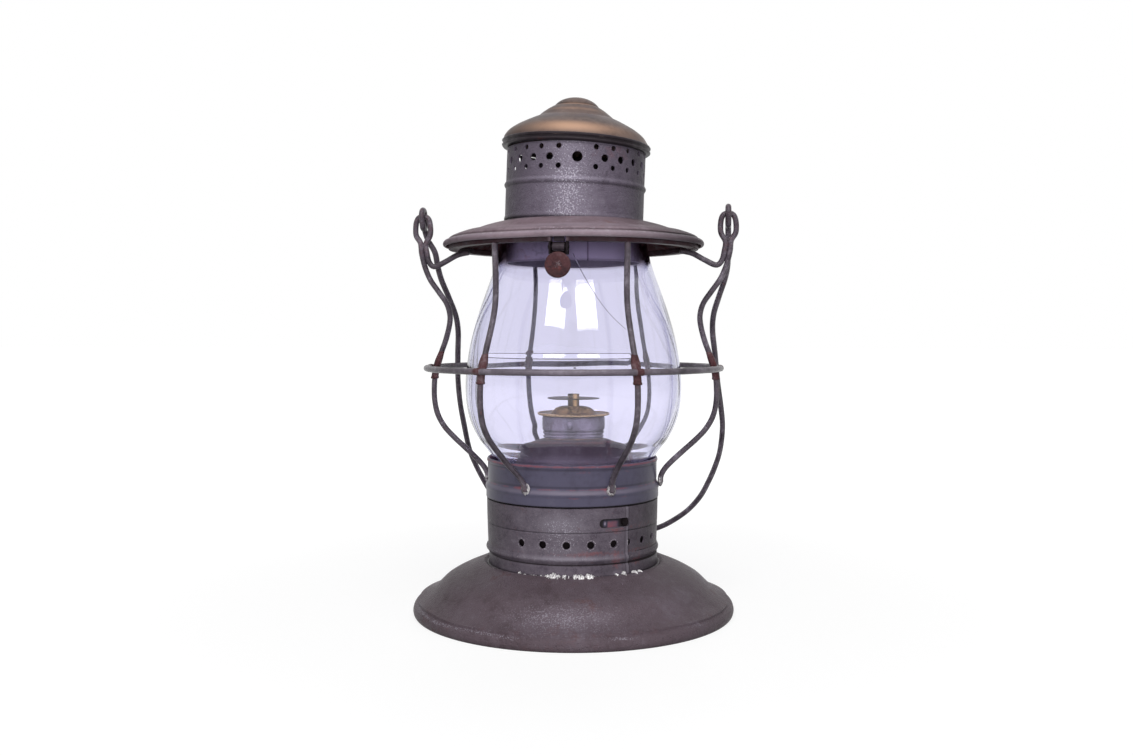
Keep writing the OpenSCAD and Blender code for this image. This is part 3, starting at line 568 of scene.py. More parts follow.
class Effects:
    """The node groups that several finishes share. Each is built once."""

    def __init__(self) -> None:
        """Builds every group."""
        self.patina = self._patina()
        self.grain = self._grain()
        self.wear = self._wear()

    @staticmethod
    def _patina() -> bpy.types.NodeTree:
        """Uneven browning of old metal: three tones in patches, with rust in the deepest ones."""
        inputs = {"Base": (0.1, 0.1, 0.1), "Deep": (0.05, 0.05, 0.05), "Pale": (0.2, 0.2, 0.2),
                  "Rust": (0.12, 0.05, 0.04), "Patch Scale": 30.0, "Rust Amount": 0.3, "Contrast": 1.0}
        sk, i, o = new_group("uneven_patina", inputs, "Color", ("Rust Mask", "Tone"))
        given = i.outputs
        where, scale = sk.where(), given["Patch Scale"]
        big = sk.noise(where, scale, 4.0, 0.6)
        mid = sk.noise(where, sk.times(scale, 3.3), 4.0, 0.65)
        fine = sk.noise(where, sk.times(scale, 11.0), 3.0, 0.6)
        tone = sk.plus(sk.times(big, 0.5), sk.plus(sk.times(mid, 0.3), sk.times(fine, 0.2)))
        spread = sk.times_plus(sk.less(tone, 0.5), given["Contrast"], 0.5)
        dark, pale = sk.step(spread, 0.52, 0.36), sk.step(spread, 0.52, 0.68)
        c = sk.blend(pale, sk.blend(dark, given["Base"], given["Deep"]), given["Pale"])
        blot = sk.noise(where, sk.times(scale, 1.7), 6.0, 0.7)
        edge = sk.less(0.78, sk.times(given["Rust Amount"], 0.4))
        rust = sk.times(sk.less(blot, edge), 9.0, clamp=True)
        sk.fill(o, Color=sk.blend(rust, c, given["Rust"]), Rust_Mask=rust, Tone=spread)
        return sk.tree

    @staticmethod
    def _grain() -> bpy.types.NodeTree:
        """Fine pits and grain of a rough surface as a height, and a share of bright flecks that are painted
        glints.
        """
        sk, i, o = new_group("fine_grain", {"Grain Scale": 900.0, "Pits": 0.5, "Fleck Share": 0.2},
                             values=("Height", "Flecks"))
        where, scale = sk.where(), i.outputs["Grain Scale"]
        fine = sk.noise(where, scale, 2.0, 0.5)
        coarse = sk.noise(where, sk.times(scale, 0.28), 3.0, 0.6)
        cells = sk.node("TexVoronoi", i0=where, Scale=sk.times(scale, 0.55)).outputs[0]
        pits = sk.times(sk.step(cells, 0.42, 0.05), i.outputs["Pits"])
        height = sk.less(sk.plus(sk.times(fine, 0.55), sk.times(coarse, 0.45)), sk.times(pits, 0.5))
        edge = sk.less(0.8, sk.times(i.outputs["Fleck Share"], 0.3))
        sk.fill(o, Height=height, Flecks=sk.times(sk.less(fine, edge), 12.0, clamp=True))
        return sk.tree

    @staticmethod
    def _wear() -> bpy.types.NodeTree:
        """Where a mask on the mesh says so, broken-up wear: the mask must beat a noise."""
        sk, i, o = new_group("broken_mask", {"Mask": 0.0, "Break Scale": 400.0, "Spread": 0.25},
                             values=("Share",))
        given = i.outputs
        n = sk.noise(sk.where(), given["Break Scale"], 4.0, 0.65)
        low = sk.less(1.0, given["Mask"])
        x = sk.math("DIVIDE", sk.less(n, sk.times_plus(low, 0.6, 0.25)), given["Spread"])
        gate = sk.step(given["Mask"], 0.0, 0.08)
        sk.fill(o, Share=sk.times(sk.plus(x, 0.2, clamp=True), gate))
        return sk.tree


def use_group(sk: Sketch, tree: bpy.types.NodeTree, **values: object) -> bpy.types.Node:
    """Places a node group with its own values, named with underscores for spaces."""
    n = sk.tree.nodes.new("ShaderNodeGroup")
    n.node_tree = tree
    return sk.fill(n, **values)


def start_material(name: str) -> tuple[bpy.types.Material, Sketch, bpy.types.Node]:
    """A new material with a Principled shader on its output."""
    mat = bpy.data.materials.new(name)
    mat.use_nodes = True
    sk = Sketch(mat.node_tree)
    bsdf = sk.node("BsdfPrincipled")
    sk.node("OutputMaterial", Surface=bsdf.outputs[0])
    return mat, sk, bsdf


@dataclass(frozen=True)
class AgedMetal:
    """Old sheet, wire or brass: its tones, the size of its patches and grain, and its gloss."""

    name: str
    base: Colour
    deep: Colour
    pale: Colour
    rust: Colour
    worn: Colour = (0.3, 0.27, 0.28)
    stain: Colour = (0.16, 0.05, 0.05)
    # Colour of soot, and of painted shade in gaps, creases, under overhangs, inside and on the lantern's
    # sides.
    soot: Colour = (0.012, 0.009, 0.011)
    sheen_colour: Colour = (0.3, 0.26, 0.32)
    fleck: Colour = (0.32, 0.29, 0.34)
    patch_scale: float = 30.0
    rust_amount: float = 0.4
    contrast: float = 1.0
    grain_scale: float = 1700.0
    grain_height: float = 0.12
    pits: float = 0.4
    flecks: float = 0.2
    roughness: float = 0.4
    metallic: float = 0.0
    specular: float = 0.25

    def material(self, fx: Effects) -> bpy.types.Material:
        """Builds the material: patina, stains, wear, painted sheen, painted glints, and soot with painted
        shade, by the mesh's masks, with grain and bump.
        """
        mat, sk, bsdf = start_material(self.name)
        pat = use_group(sk, fx.patina, Base=self.base, Deep=self.deep, Pale=self.pale, Rust=self.rust,
                        Patch_Scale=self.patch_scale, Rust_Amount=self.rust_amount,
                        Contrast=self.contrast).outputs
        # This mask paints glints: more and brighter pale flecks where a lamp would glint on the grain.
        sparkle = sk.mask("sparkle")
        share = sk.times_plus(sparkle, 0.5, self.flecks)
        grain = use_group(sk, fx.grain, Grain_Scale=self.grain_scale, Pits=self.pits,
                          Fleck_Share=share).outputs
        stains = use_group(sk, fx.wear, Mask=sk.mask("stain"), Break_Scale=self.patch_scale * 5, Spread=0.5)
        worn = use_group(sk, fx.wear, Mask=sk.mask("wear"), Break_Scale=self.patch_scale * 14, Spread=0.16)
        fleck = sk.times(grain["Flecks"], sk.times_plus(sparkle, 0.75, 0.1, clamp=True))
        c = sk.blend(stains.outputs[0], pat["Color"], self.stain)
        # Laid on in turn: painted sheen, painted glint flecks, wear (in places a painted highlight), and
        # soot with painted shade.
        for amount, tone in ((sk.mask("polish"), self.sheen_colour), (fleck, self.fleck),
                             (worn.outputs[0], self.worn), (sk.mask("soot"), self.soot)):
            c = sk.blend(amount, c, tone)
        rough = sk.times_plus(pat["Tone"], -0.24, self.roughness + 0.12)
        rough = sk.times_plus(pat["Rust Mask"], 0.22, rough)
        rough = sk.times_plus(worn.outputs[0], -0.08, rough, clamp=True)
        metal = sk.times_plus(pat["Rust Mask"], -0.5 * self.metallic, self.metallic, clamp=True)
        height = sk.times_plus(pat["Rust Mask"], 0.3, grain["Height"])
        relief = sk.node("Bump", Strength=1.0, Distance=self.grain_height * MM, Height=height)
        sk.fill(bsdf, Base_Color=c, Roughness=rough, Metallic=metal, Specular_IOR_Level=self.specular,
                Normal=relief.outputs[0])
        return mat


@dataclass(frozen=True)
class ClearGlass:
    """Blown glass with a faint tint, soft ripples and a few seeds."""

    name: str
    tint: Colour
    edge: Colour = (0.22, 0.23, 0.44)
    edge_from: float = 0.42
    smoke: Colour = (0.13, 0.09, 0.115)
    roughness: float = 0.02
    ior: float = 1.5

    def material(self, fx: Effects) -> bpy.types.Material:
        """Builds the glass. Rays from lamps pass through its tint, so that what is inside is lit."""
        mat, sk, bsdf = start_material(self.name)
        slant = sk.node("LayerWeight", Blend=0.5).outputs["Facing"]
        c = sk.blend(sk.step(slant, self.edge_from, 1.0), self.tint, self.edge)
        c = sk.blend(sk.mask("smoke"), c, self.smoke)
        where = sk.where()
        wide = sk.noise(where, 22.0, 1.0, 0.3)
        cells = sk.node("TexVoronoi", i0=where, Scale=70.0, Randomness=1.0).outputs[0]
        height = sk.times_plus(sk.step(cells, 0.06, 0.0), 0.25, wide)
        relief = sk.node("Bump", Strength=1.0, Distance=0.16 * MM, Height=height)
        sk.fill(bsdf, Base_Color=c, Transmission_Weight=1.0, Roughness=self.roughness, IOR=self.ior,
                Normal=relief.outputs[0])
        clear = sk.node("BsdfTransparent", Color=tuple(v**0.5 for v in self.tint))
        shadow = sk.node("LightPath").outputs["Is Shadow Ray"]
        mix = sk.node("MixShader", i0=shadow, i1=bsdf.outputs[0], i2=clear.outputs[0])
        out = next(n for n in sk.tree.nodes if n.type == "OUTPUT_MATERIAL")
        sk.fill(out, Surface=mix.outputs[0])
        return mat


@dataclass(frozen=True)
class WovenWick:
    """Round woven cotton with a charred end."""

    name: str
    cotton: Colour
    char: Colour
    char_from: float

    def material(self, fx: Effects) -> bpy.types.Material:
        """Builds the cotton: two crossed sets of waves for the weave, dark above char_from (mm)."""
        mat, sk, bsdf = start_material(self.name)
        where = sk.where()
        xyz = sk.node("SeparateXYZ", i0=where).outputs
        around = sk.math("ARCTAN2", xyz[1], xyz[0])
        rise = sk.times(xyz[2], 5200.0)
        waves = [sk.math("SINE", sk.times_plus(around, count, rise)) for count in (9.0, -9.0)]
        weave = sk.times_plus(sk.times(*waves), 0.5, 0.5)
        ragged = sk.times_plus(sk.noise(where, 700.0), 1.2 * MM, xyz[2])
        burnt = sk.step(ragged, self.char_from * MM, (self.char_from + 1.2) * MM)
        c = sk.blend(sk.times(weave, 0.35), self.cotton, tuple(0.6 * v for v in self.cotton))
        relief = sk.node("Bump", Strength=1.0, Distance=0.15 * MM, Height=weave)
        sk.fill(bsdf, Base_Color=sk.blend(burnt, c, self.char), Roughness=0.9, Normal=relief.outputs[0])
        return mat


class Finish(Enum):
    """The lantern's finishes."""

    BASE_STEEL = AgedMetal(
        "base_steel", base=(0.112, 0.084, 0.1), deep=(0.075, 0.053, 0.062), pale=(0.155, 0.126, 0.152),
        rust=(0.115, 0.06, 0.06), worn=(0.5, 0.45, 0.44), stain=(0.11, 0.044, 0.044), patch_scale=26.0,
        rust_amount=0.35, grain_scale=1400.0, grain_height=0.8, pits=0.5, flecks=0.6, specular=0.07)
    COLLAR_STEEL = AgedMetal(
        "collar_steel", base=(0.12, 0.1, 0.125), deep=(0.082, 0.066, 0.086), pale=(0.17, 0.146, 0.178),
        rust=(0.14, 0.075, 0.082), worn=(0.4, 0.36, 0.4), stain=(0.21, 0.075, 0.08), patch_scale=140.0,
        sheen_colour=(0.26, 0.235, 0.28), fleck=(0.5, 0.47, 0.54), contrast=1.2, grain_height=0.4, flecks=0.5,
        specular=0.08)
    FRAME_STEEL = AgedMetal(
        "aged_tin", base=(0.09, 0.083, 0.128), deep=(0.062, 0.053, 0.08), pale=(0.125, 0.116, 0.165),
        rust=(0.12, 0.062, 0.08), worn=(0.3, 0.25, 0.33), stain=(0.25, 0.08, 0.1), patch_scale=34.0,
        rust_amount=0.12, contrast=0.7, grain_height=0.03, pits=0.2, flecks=0.1, roughness=0.34,
        specular=0.14)
    CHIMNEY_STEEL = AgedMetal(
        "chimney_steel", base=(0.13, 0.108, 0.145), deep=(0.08, 0.064, 0.088), pale=(0.2, 0.175, 0.22),
        rust=(0.13, 0.07, 0.085), worn=(0.5, 0.44, 0.5), stain=(0.17, 0.09, 0.11),
        sheen_colour=(0.36, 0.32, 0.4), fleck=(0.58, 0.55, 0.64), patch_scale=38.0, rust_amount=0.3,
        grain_scale=1500.0, grain_height=0.8, pits=0.5, flecks=0.5, roughness=0.42, specular=0.12)
    BRIM_STEEL = AgedMetal(
        "brim_steel", base=(0.22, 0.16, 0.185), deep=(0.13, 0.088, 0.104), pale=(0.31, 0.25, 0.285),
        rust=(0.2, 0.105, 0.1), worn=(0.55, 0.49, 0.54), stain=(0.13, 0.02, 0.028),
        sheen_colour=(0.42, 0.36, 0.42), fleck=(0.7, 0.66, 0.74), patch_scale=34.0, grain_scale=1200.0,
        grain_height=0.4, flecks=0.35, roughness=0.42, specular=0.03)
    DARK_STEEL = AgedMetal(
        "dark_steel", base=(0.055, 0.042, 0.052), deep=(0.028, 0.02, 0.027), pale=(0.12, 0.105, 0.12),
        rust=(0.1, 0.045, 0.046), sheen_colour=(0.2, 0.17, 0.2), patch_scale=60.0, rust_amount=0.45,
        grain_scale=1500.0, grain_height=0.1, specular=0.12)
    # Near black for parts inside the lantern and under the lid: painted shade.
    INNER_SHADE_STEEL = AgedMetal(
        "inner_shade_steel", base=(0.016, 0.012, 0.014), deep=(0.008, 0.006, 0.007), pale=(0.03, 0.022, 0.025),
        rust=(0.025, 0.012, 0.012), rust_amount=0.3, grain_scale=1200.0, grain_height=0.05, roughness=0.6,
        specular=0.04)
    GUARD_WIRE = AgedMetal(
        "guard_wire", base=(0.08, 0.064, 0.082), deep=(0.04, 0.031, 0.041), pale=(0.19, 0.165, 0.2),
        rust=(0.13, 0.058, 0.06), worn=(0.32, 0.28, 0.31), stain=(0.11, 0.045, 0.05), patch_scale=110.0,
        contrast=1.3, grain_height=0.3, pits=0.6, flecks=0.5, roughness=0.3, specular=0.3)
    CLIP_STEEL = AgedMetal(
        "clip_steel", base=(0.085, 0.036, 0.04), deep=(0.04, 0.02, 0.024), pale=(0.15, 0.1, 0.112),
        rust=(0.13, 0.04, 0.04), worn=(0.26, 0.21, 0.23), patch_scale=120.0, rust_amount=0.45,
        contrast=1.3, grain_height=0.2, pits=0.5, roughness=0.45, specular=0.1)
    SOLDER = AgedMetal(
        "solder", base=(0.45, 0.42, 0.45), deep=(0.06, 0.05, 0.058), pale=(0.9, 0.87, 0.88),
        rust=(0.1, 0.075, 0.07), worn=(1.0, 0.98, 0.98), stain=(0.08, 0.062, 0.078), patch_scale=260.0,
        contrast=2.6, grain_height=0.5, pits=0.6, flecks=0.5, roughness=0.3, metallic=0.1, specular=0.3)
    CAP_BRASS = AgedMetal(
        "cap_brass", base=(0.155, 0.112, 0.1), deep=(0.09, 0.066, 0.064), pale=(0.23, 0.17, 0.155),
        rust=(0.085, 0.06, 0.06), worn=(0.5, 0.33, 0.25), stain=(0.105, 0.085, 0.105),
        sheen_colour=(0.55, 0.34, 0.23), fleck=(0.4, 0.3, 0.24), patch_scale=44.0, rust_amount=0.45,
        contrast=1.1, grain_scale=1500.0, grain_height=0.06, pits=0.3, roughness=0.36, specular=0.06)
    BRASS = AgedMetal(
        "brass", base=(0.2, 0.125, 0.07), deep=(0.085, 0.055, 0.045), pale=(0.42, 0.28, 0.15),
        rust=(0.1, 0.066, 0.058), worn=(0.75, 0.55, 0.32), stain=(0.1, 0.06, 0.055), patch_scale=150.0,
        contrast=1.5, rust_amount=0.35, grain_scale=1800.0, grain_height=0.04, roughness=0.34,
        specular=0.08, sheen_colour=(0.78, 0.52, 0.24))
    NICKEL = AgedMetal(
        "nickel", base=(0.2, 0.178, 0.215), deep=(0.1, 0.08, 0.097), pale=(0.32, 0.3, 0.345),
        rust=(0.12, 0.085, 0.09), worn=(0.47, 0.44, 0.49), stain=(0.1, 0.07, 0.077), patch_scale=130.0,
        rust_amount=0.3, contrast=1.2, grain_height=0.04, roughness=0.36, metallic=0.1, specular=0.25)
    GLOBE_GLASS = ClearGlass("globe_glass", tint=(0.82, 0.81, 0.925))
    WICK_COTTON = WovenWick("wick_cotton", cotton=(0.7, 0.64, 0.5), char=(0.03, 0.025, 0.022),
                            char_from=108.4)


class Workshop:
    """Makes finished pieces: meshes from surfaces, with finishes, riding on the lantern's bodies."""

    def __init__(self) -> None:
        """Builds the shared effects and an empty shelf of finishes."""
        self.fx = Effects()
        self.made: dict[Finish, bpy.types.Material] = {}

    def finish(self, which: Finish) -> bpy.types.Material:
        """The material of a finish, built the first time it is asked for."""
        if which not in self.made:
            self.made[which] = which.value.material(self.fx)
        return self.made[which]

    def piece(self, name: str, surface: Surface | bpy.types.Mesh, body: str, which: Finish,
              stands_for: str, sharp: float = 38.0, cutters: Sequence[Surface] = ()) -> bpy.types.Object:
        """A piece in place, shaded smoothly except at corners sharper than an angle.

        Args:
            name: The piece's name.
            surface: Its surface, or a mesh made from one.
            body: The body that it rides on.
            which: Its finish.
            stands_for: The node that it replaces.
            sharp: The angle in degrees from which a corner stays sharp.
            cutters: What is taken away from it.

        Returns:
            The new object.
        """
        mesh = surface if isinstance(surface, bpy.types.Mesh) else into_mesh(name, surface)
        if cutters:
            mesh = pierce(mesh, cutters)
        mesh.name = name
        mesh.shade_smooth()
        mesh.set_sharp_from_angle(angle=math.radians(sharp))
        mesh.materials.clear()
        mesh.materials.append(self.finish(which))
        obj = bpy.data.objects.new(name, mesh)
        bpy.context.scene.collection.objects.link(obj)
        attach(obj, body)
        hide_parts(stands_for)
        LOG.info("%s: %d faces on %s", name, len(mesh.polygons), body)
        return obj

    def dress(self, which: Finish, *nodes: str) -> None:
        """Gives model nodes that are shown as they are their finish."""
        for n in nodes:
            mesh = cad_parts[n].data
            mesh.materials.clear()
            mesh.materials.append(self.finish(which))


# The lantern


@dataclass
class Base:
    """Bell, lower collar with its air holes and locking slots, solder, and the pot inside."""

    shop: Workshop
    skin: float = 1.0
    collar: float = 42.9
    hole_z: float = 40.2
    slot_z: float = 50.2
    bead_z: float = 33.1
    lap: float = 44.4

    def bell(self) -> None:
        """The flared bell: a dome, a shallow waist and a flange with a rolled hem.

        The outline is a smooth curve through the bell's measured points, closed under the hem by
        the same curve moved inwards by the sheet's thickness. The flange rises and falls by up to
        0.56 mm as sin(3a), sin(7a) and sin(11a) of the azimuth, more towards the rim.
        """
        over = smooth_curve(
            [[42.95, 25.0], [45, 24.75], [48, 24.0], [52, 22.4], [56, 20.75], [60, 18.75], [64, 16.25],
             [67, 13.4], [69, 11.4], [71, 9.8], [73.5, 8.3], [76, 7.1], [78, 6.25], [79.3, 5.5],
             [80.1, 4.8]], 6)
        hem = smooth_curve([[80.5, 4.2], [80.75, 3.2], [80.85, 2.2], [80.6, 0.8], [80.0, 0.05],
                            [79.2, 0.0], [78.5, 0.5], [78.3, 1.6], [78.35, 3.4]], 4)
        under = offset(over[::-1], self.skin)[4:-6]
        under = under[under[:, 0] < 78.2]
        s = lathed(np.concatenate([over, hem, under, [[42.0, 23.9], [42.0, 24.9]]]), 288)
        az, r, z = s.azimuth(), s.radius(), s.points[:, 2].copy()
        a = np.radians(az)
        lift = 0.16 * np.sin(3 * a + 0.6) + 0.12 * np.sin(7 * a + 2.0) + 0.07 * np.sin(11 * a)
        s.points[:, 2] += lift * eased(r, 58, 80) * eased(z, 0.4, 5.0) * 1.6
        s = s.pushed(0.14 * ripple(a, z, 3) * eased(r, 46, 60) * eased(z, 0.2, 3))
        s.points[:, 2] = np.maximum(s.points[:, 2], 0.0)
        nicks = np.clip(np.sin(31 * a + 1) + np.sin(47 * a + 2.2) + np.sin(83 * a) + 0.8 * np.sin(171 * a)
                        - 1.0, 0, 1)
        az = s.azimuth()
        chips = eased(az, -75, -62) * faded(az, -16, -8) + bump(az, 22, 11) + 0.8 * bump(az, 52, 9)
        chips = chips * bump(r + 0.4 * np.sin(9 * a), 79.2, 1.5) * eased(z, 4.0, 4.8)
        shine = glow(az, 2, 23) * glow(z, 12.0, 5.5) * eased(z, 5, 6)
        # Painted sheen and glints on the lit front of the flange, and glints on the chipped rim; painted
        # shade round the collar's foot and on the sides; darker along the bottom edge and on the upper
        # slope.
        s.marks(wear=0.4 * bump(r, 79.3, 1.2) * eased(z, 4.0, 4.8) * nicks * (chips > 0.2),
                sparkle=np.maximum(0.75 * shine, 0.8 * chips),
                polish=0.15 * shine,
                stain=peaks(r, (0.25, 50, 8), (0.4, 77.5, 3.5)) * eased(z, 4.5, 6) + 0.3 * (z < 5),
                soot=0.6 * bump(r, 43.4, 1.3) * eased(z, 23, 24.5) + 0.3 * faded(z, 0.0, 2.4)
                + 0.24 * side_shade(az) + 0.1 * bump(z, 21, 6))
        self.shop.piece("bell", s, "base", Finish.BASE_STEEL, "bell_base")

    def solder(self) -> None:
        """Ragged solder where the lower collar stands in the bell.

        Its half width and height are a base value times one plus sines of high whole numbers,
        full from azimuth -18 to 22 and thin elsewhere, with lumps on both sides of the lap.
        """
        n = 900
        a = np.linspace(0, 2 * math.pi, n, endpoint=False)
        az = (np.degrees(a) + 180) % 360 - 180
        rng = np.random.default_rng(11)
        waves = [rng.uniform(0.5, 1) * np.sin(k * a + rng.uniform(0, 6.3))
                 for k in (23, 47, 71, 97, 137, 173, 227)]
        rough = sum(waves) / 2.6
        drop = np.convolve(rng.normal(0, 0.55, n), [0.25, 0.5, 0.25], "same")
        run = eased(az, -16, -6) * faded(az, 14, 25) * 1.15 + 0.3 * bump(az, -18, 12)
        lumps = peaks(az, (1.0, 34.5, 2.6), (1.0, 38.6, 1.6), (0.9, 47.5, 2.2), (1.1, 52.5, 3.2))
        specks = peaks(az, (0.8, -29.5, 1.6), (0.7, -25.5, 1.8))
        rough = rough + 0.7 * np.convolve(rng.normal(0, 1, n), [0.3, 0.4, 0.3], "same")
        size = 0.3 + np.clip(run * (1.5 + 0.8 * rough) + lumps * (1.3 + 0.6 * rough) + specks, 0, 2.0)
        sides = 12
        b = np.arange(sides) * (2 * math.pi / sides)
        r = 43.2 + 0.75 * size[None, :] + size[None, :] * 1.1 * np.cos(b)[:, None]
        z = 25.0 + size[None, :] * 0.85 * np.sin(b)[:, None] + (drop * eased(size, 0.4, 1.0))[None, :]
        r = np.maximum(r, 42.5)
        aa = np.broadcast_to(a, r.shape)
        pts = np.stack([r * np.sin(aa), -r * np.cos(aa), z], -1).reshape(-1, 3)
        s = Surface(pts, quads(sides, n, True, True).tolist())
        glints = np.clip(rng.uniform(0.3, 2.2, sides * n), 0, 1)
        shine = np.tile(np.clip(1.4 * (size - 0.45), 0, 1), sides) * glints
        # The bright specks are painted glints, laid on as wear; the rest is darker solder.
        s.marks(wear=0.9 * shine, stain=1 - shine, soot=0.75 * (1 - shine))
        self.shop.piece("collar_solder", s, "base", Finish.SOLDER, "base_solder")

    def wall(self) -> None:
        """The lower collar, its bead and crease, the lap of its sheet, air holes and slots.

        The outline (radius, height) is turned round the axis. From the lap's edge leftwards the
        sheet lies over itself, so it stands 0.5 mm prouder, easing away over 18 degrees.
        """
        inner, lap = self.collar - 0.6, self.lap
        z = np.concatenate([np.linspace(22.4, 29.9, 10), np.linspace(30.3, 36.0, 30),
                            np.linspace(36.6, 45.0, 14), np.linspace(45.15, 46.45, 14),
                            np.linspace(46.8, 56.9, 16), [57.3, 57.62, 57.74]])
        out = self.collar - 0.25 + 0.75 * eased(z, 27, 56) + 1.0 * bump(z, self.bead_z, 2.3)
        out -= peaks(z, (0.3, 45.8, 0.55), (0.3, self.bead_z - 2.5, 0.9))
        out[-2:] -= [0.06, 0.3]
        wall = np.column_stack([out, z])
        back = np.array([[inner, 57.8], [inner, 46], [inner, 34], [inner, 22.4]])
        near = lap + np.array([-2.4, -2.0, -1.5, -0.9, -0.08, 0.08, 0.3, 0.75, 1.1, 1.7])
        s = lathed(np.concatenate([wall, back]), 360, extra=near)
        az, r, zz = s.polar()
        outer = r > self.collar - 0.5
        step = eased(az, lap - 18, lap - 5) * faded(az, lap - 0.06, lap + 0.06) * eased(zz, 22.6, 25)
        dent = 0.5 * bump(az, lap - 3.2, 3.4) * bump(zz, 58.2, 2.0)
        wave = 0.12 * ripple(np.radians(az), zz, 8) * eased(zz, 29, 33) * faded(zz, 54, 57)
        s = s.pushed(outer * (0.5 * step + wave - dent))
        patches = ((35, 4.5, 32, 4.5, 1.0), (35, 6, 46.5, 2.2, 0.9), (12, 16, 34.5, 3, 0.45),
                   (52, 5, 31, 2.0, 0.9), (20, 8, 37.5, 2.5, 0.35), (32, 9, 55, 2.5, 0.4))
        heat = sum(k * glow(az, c, w) * glow(zz, m, h) for c, w, m, h, k in patches)
        heat = heat + peaks(zz, (0.3, 47.5, 2.0), (0.45, 36, 1.8)) + 0.3 * (az > lap) * (az < 90)
        holes = np.array([-28.4, -12.9, 2.6, 18.1, 33.6, 58.6, 72.2])
        per_degree = 0.749
        turns = [beside(az, h + f) * per_degree for h in (*holes, 46.6) for f in (0, 180)]
        away = np.min([np.hypot(t, zz - self.hole_z) for t in turns], axis=0)
        # Rubbed edges with painted highlights on the bead, the top edge and the crease, painted light rings
        # round the air holes, and a painted sheen spot in front.
        rub_and_highlight = peaks(zz, (0.45, self.bead_z + 0.5, 1.2), (0.35, 57.3, 0.7), (0.25, 45.1, 0.6))
        rub_and_highlight = rub_and_highlight + 0.72 * bump(away, 2.15, 0.75) * (az < lap) + 0.3 * glow(az, -2, 14) * glow(zz, 52, 4)
        fold = eased(az, lap - 2.3, lap - 1.8) * faded(az, lap - 0.1, lap) * eased(zz, 24, 26)
        front = glow(az, -1, 17)
        # Painted highlight along the bead in front and on the lap's fold.
        ridge_highlight = 0.55 * bump(zz, self.bead_z + 0.7, 1.3) * bump(az, 5, 45) + 0.3 * fold
        gap = eased(az, lap - 0.02, lap + 0.08) * faded(az, lap + 0.5, lap + 0.95)
        # Painted shade in the gap right of the lap, under the top edge, in the crease, under the bead, along
        # the foot, on the sides and beside the fold, and a little darker from the lap round to the right.
        dark = np.maximum(0.85 * gap * eased(zz, 24, 26), 0.9 * eased(zz, 57.3, 57.7))
        dark = np.maximum(dark, peaks(zz, (0.45, 45.8, 0.4), (0.55, self.bead_z - 2.4, 0.7)))
        dark = dark + 0.22 * eased(az, lap, lap + 0.2) * faded(az, 100, 130)
        dark = dark + 0.75 * faded(zz, 24.6, 25.6)
        dark = dark + 0.34 * side_shade(az) + 0.35 * bump(az, lap - 2.5, 0.45) * eased(zz, 24, 26)
        cool = 0.35 * glow(az, 29, 6) * glow(zz, 28, 2)
        # Outside, painted sheen and painted glints in front; inside, the wall is near black with soot and
        # painted shade.
        s.marks(stain=outer * 0.8 * heat + (1 - outer) * 0.5,
                wear=outer * np.maximum(rub_and_highlight, 0.25 * fold),
                polish=outer * (ridge_highlight + front * (peaks(zz, (0.5, 50, 9), (0.25, 38, 7)))),
                sparkle=0.6 * outer * front * (bump(zz, 48, 12) + 0.6 * bump(zz, 38, 8)),
                soot=np.where(outer, np.clip(dark + cool, 0, 1), 0.96))
        cutters = []
        for half in (0, 180):
            cutters += [round_cutter(a + half, self.hole_z, 3.5, self.collar) for a in holes]
            cutters += [self._sliver(half), self._slot(half)]
        wall = pierce(into_mesh("lower_collar", s), cutters)
        for v in wall.vertices:
            v.co.x -= COLLAR_SHIFT * MM * float(eased(v.co.z / MM, 27.5, 33.0))
        self.shop.piece("lower_collar", wall, "base", Finish.COLLAR_STEEL, "base_collar", 30)

    def _sliver(self, half: float) -> Surface:
        """The cutter of the hole that the lap half hides: the right half of a round hole."""
        b = np.radians(np.linspace(-90, 90, 15))
        outline = np.column_stack([1.75 * np.cos(b) * 0.9, 1.75 * np.sin(b)])
        s = plate(outline, self.collar - 3, self.collar + 3, facing(self.hole_z))
        return s.turned(self.lap + 0.7 + half)

    def _slot(self, half: float) -> Surface:
        """The locking slot's cutter: a straight peg with round ends, 4.2 mm wide.

        It is set back by the shift that the pierced wall then gets, so the studs keep to its middle.
        """
        start, end = 25.7, 41.8
        reach = self.collar * math.sin(math.radians((end - start) / 2))
        b = np.radians(np.linspace(-90, 90, 15))
        right = np.column_stack([reach + 2.1 * np.cos(b), 2.1 * np.sin(b)])
        s = plate(np.concatenate([right, -right]), self.collar - 3, self.collar + 3, facing(self.slot_z))
        s = s.turned((start + end) / 2 + half)
        s.points[:, 0] += COLLAR_SHIFT
        return s

    def build(self) -> None:
        """Builds every piece of the base."""
        self.bell()
        self.solder()
        self.wall()
        self.shop.dress(Finish.INNER_SHADE_STEEL, "fount_pot")


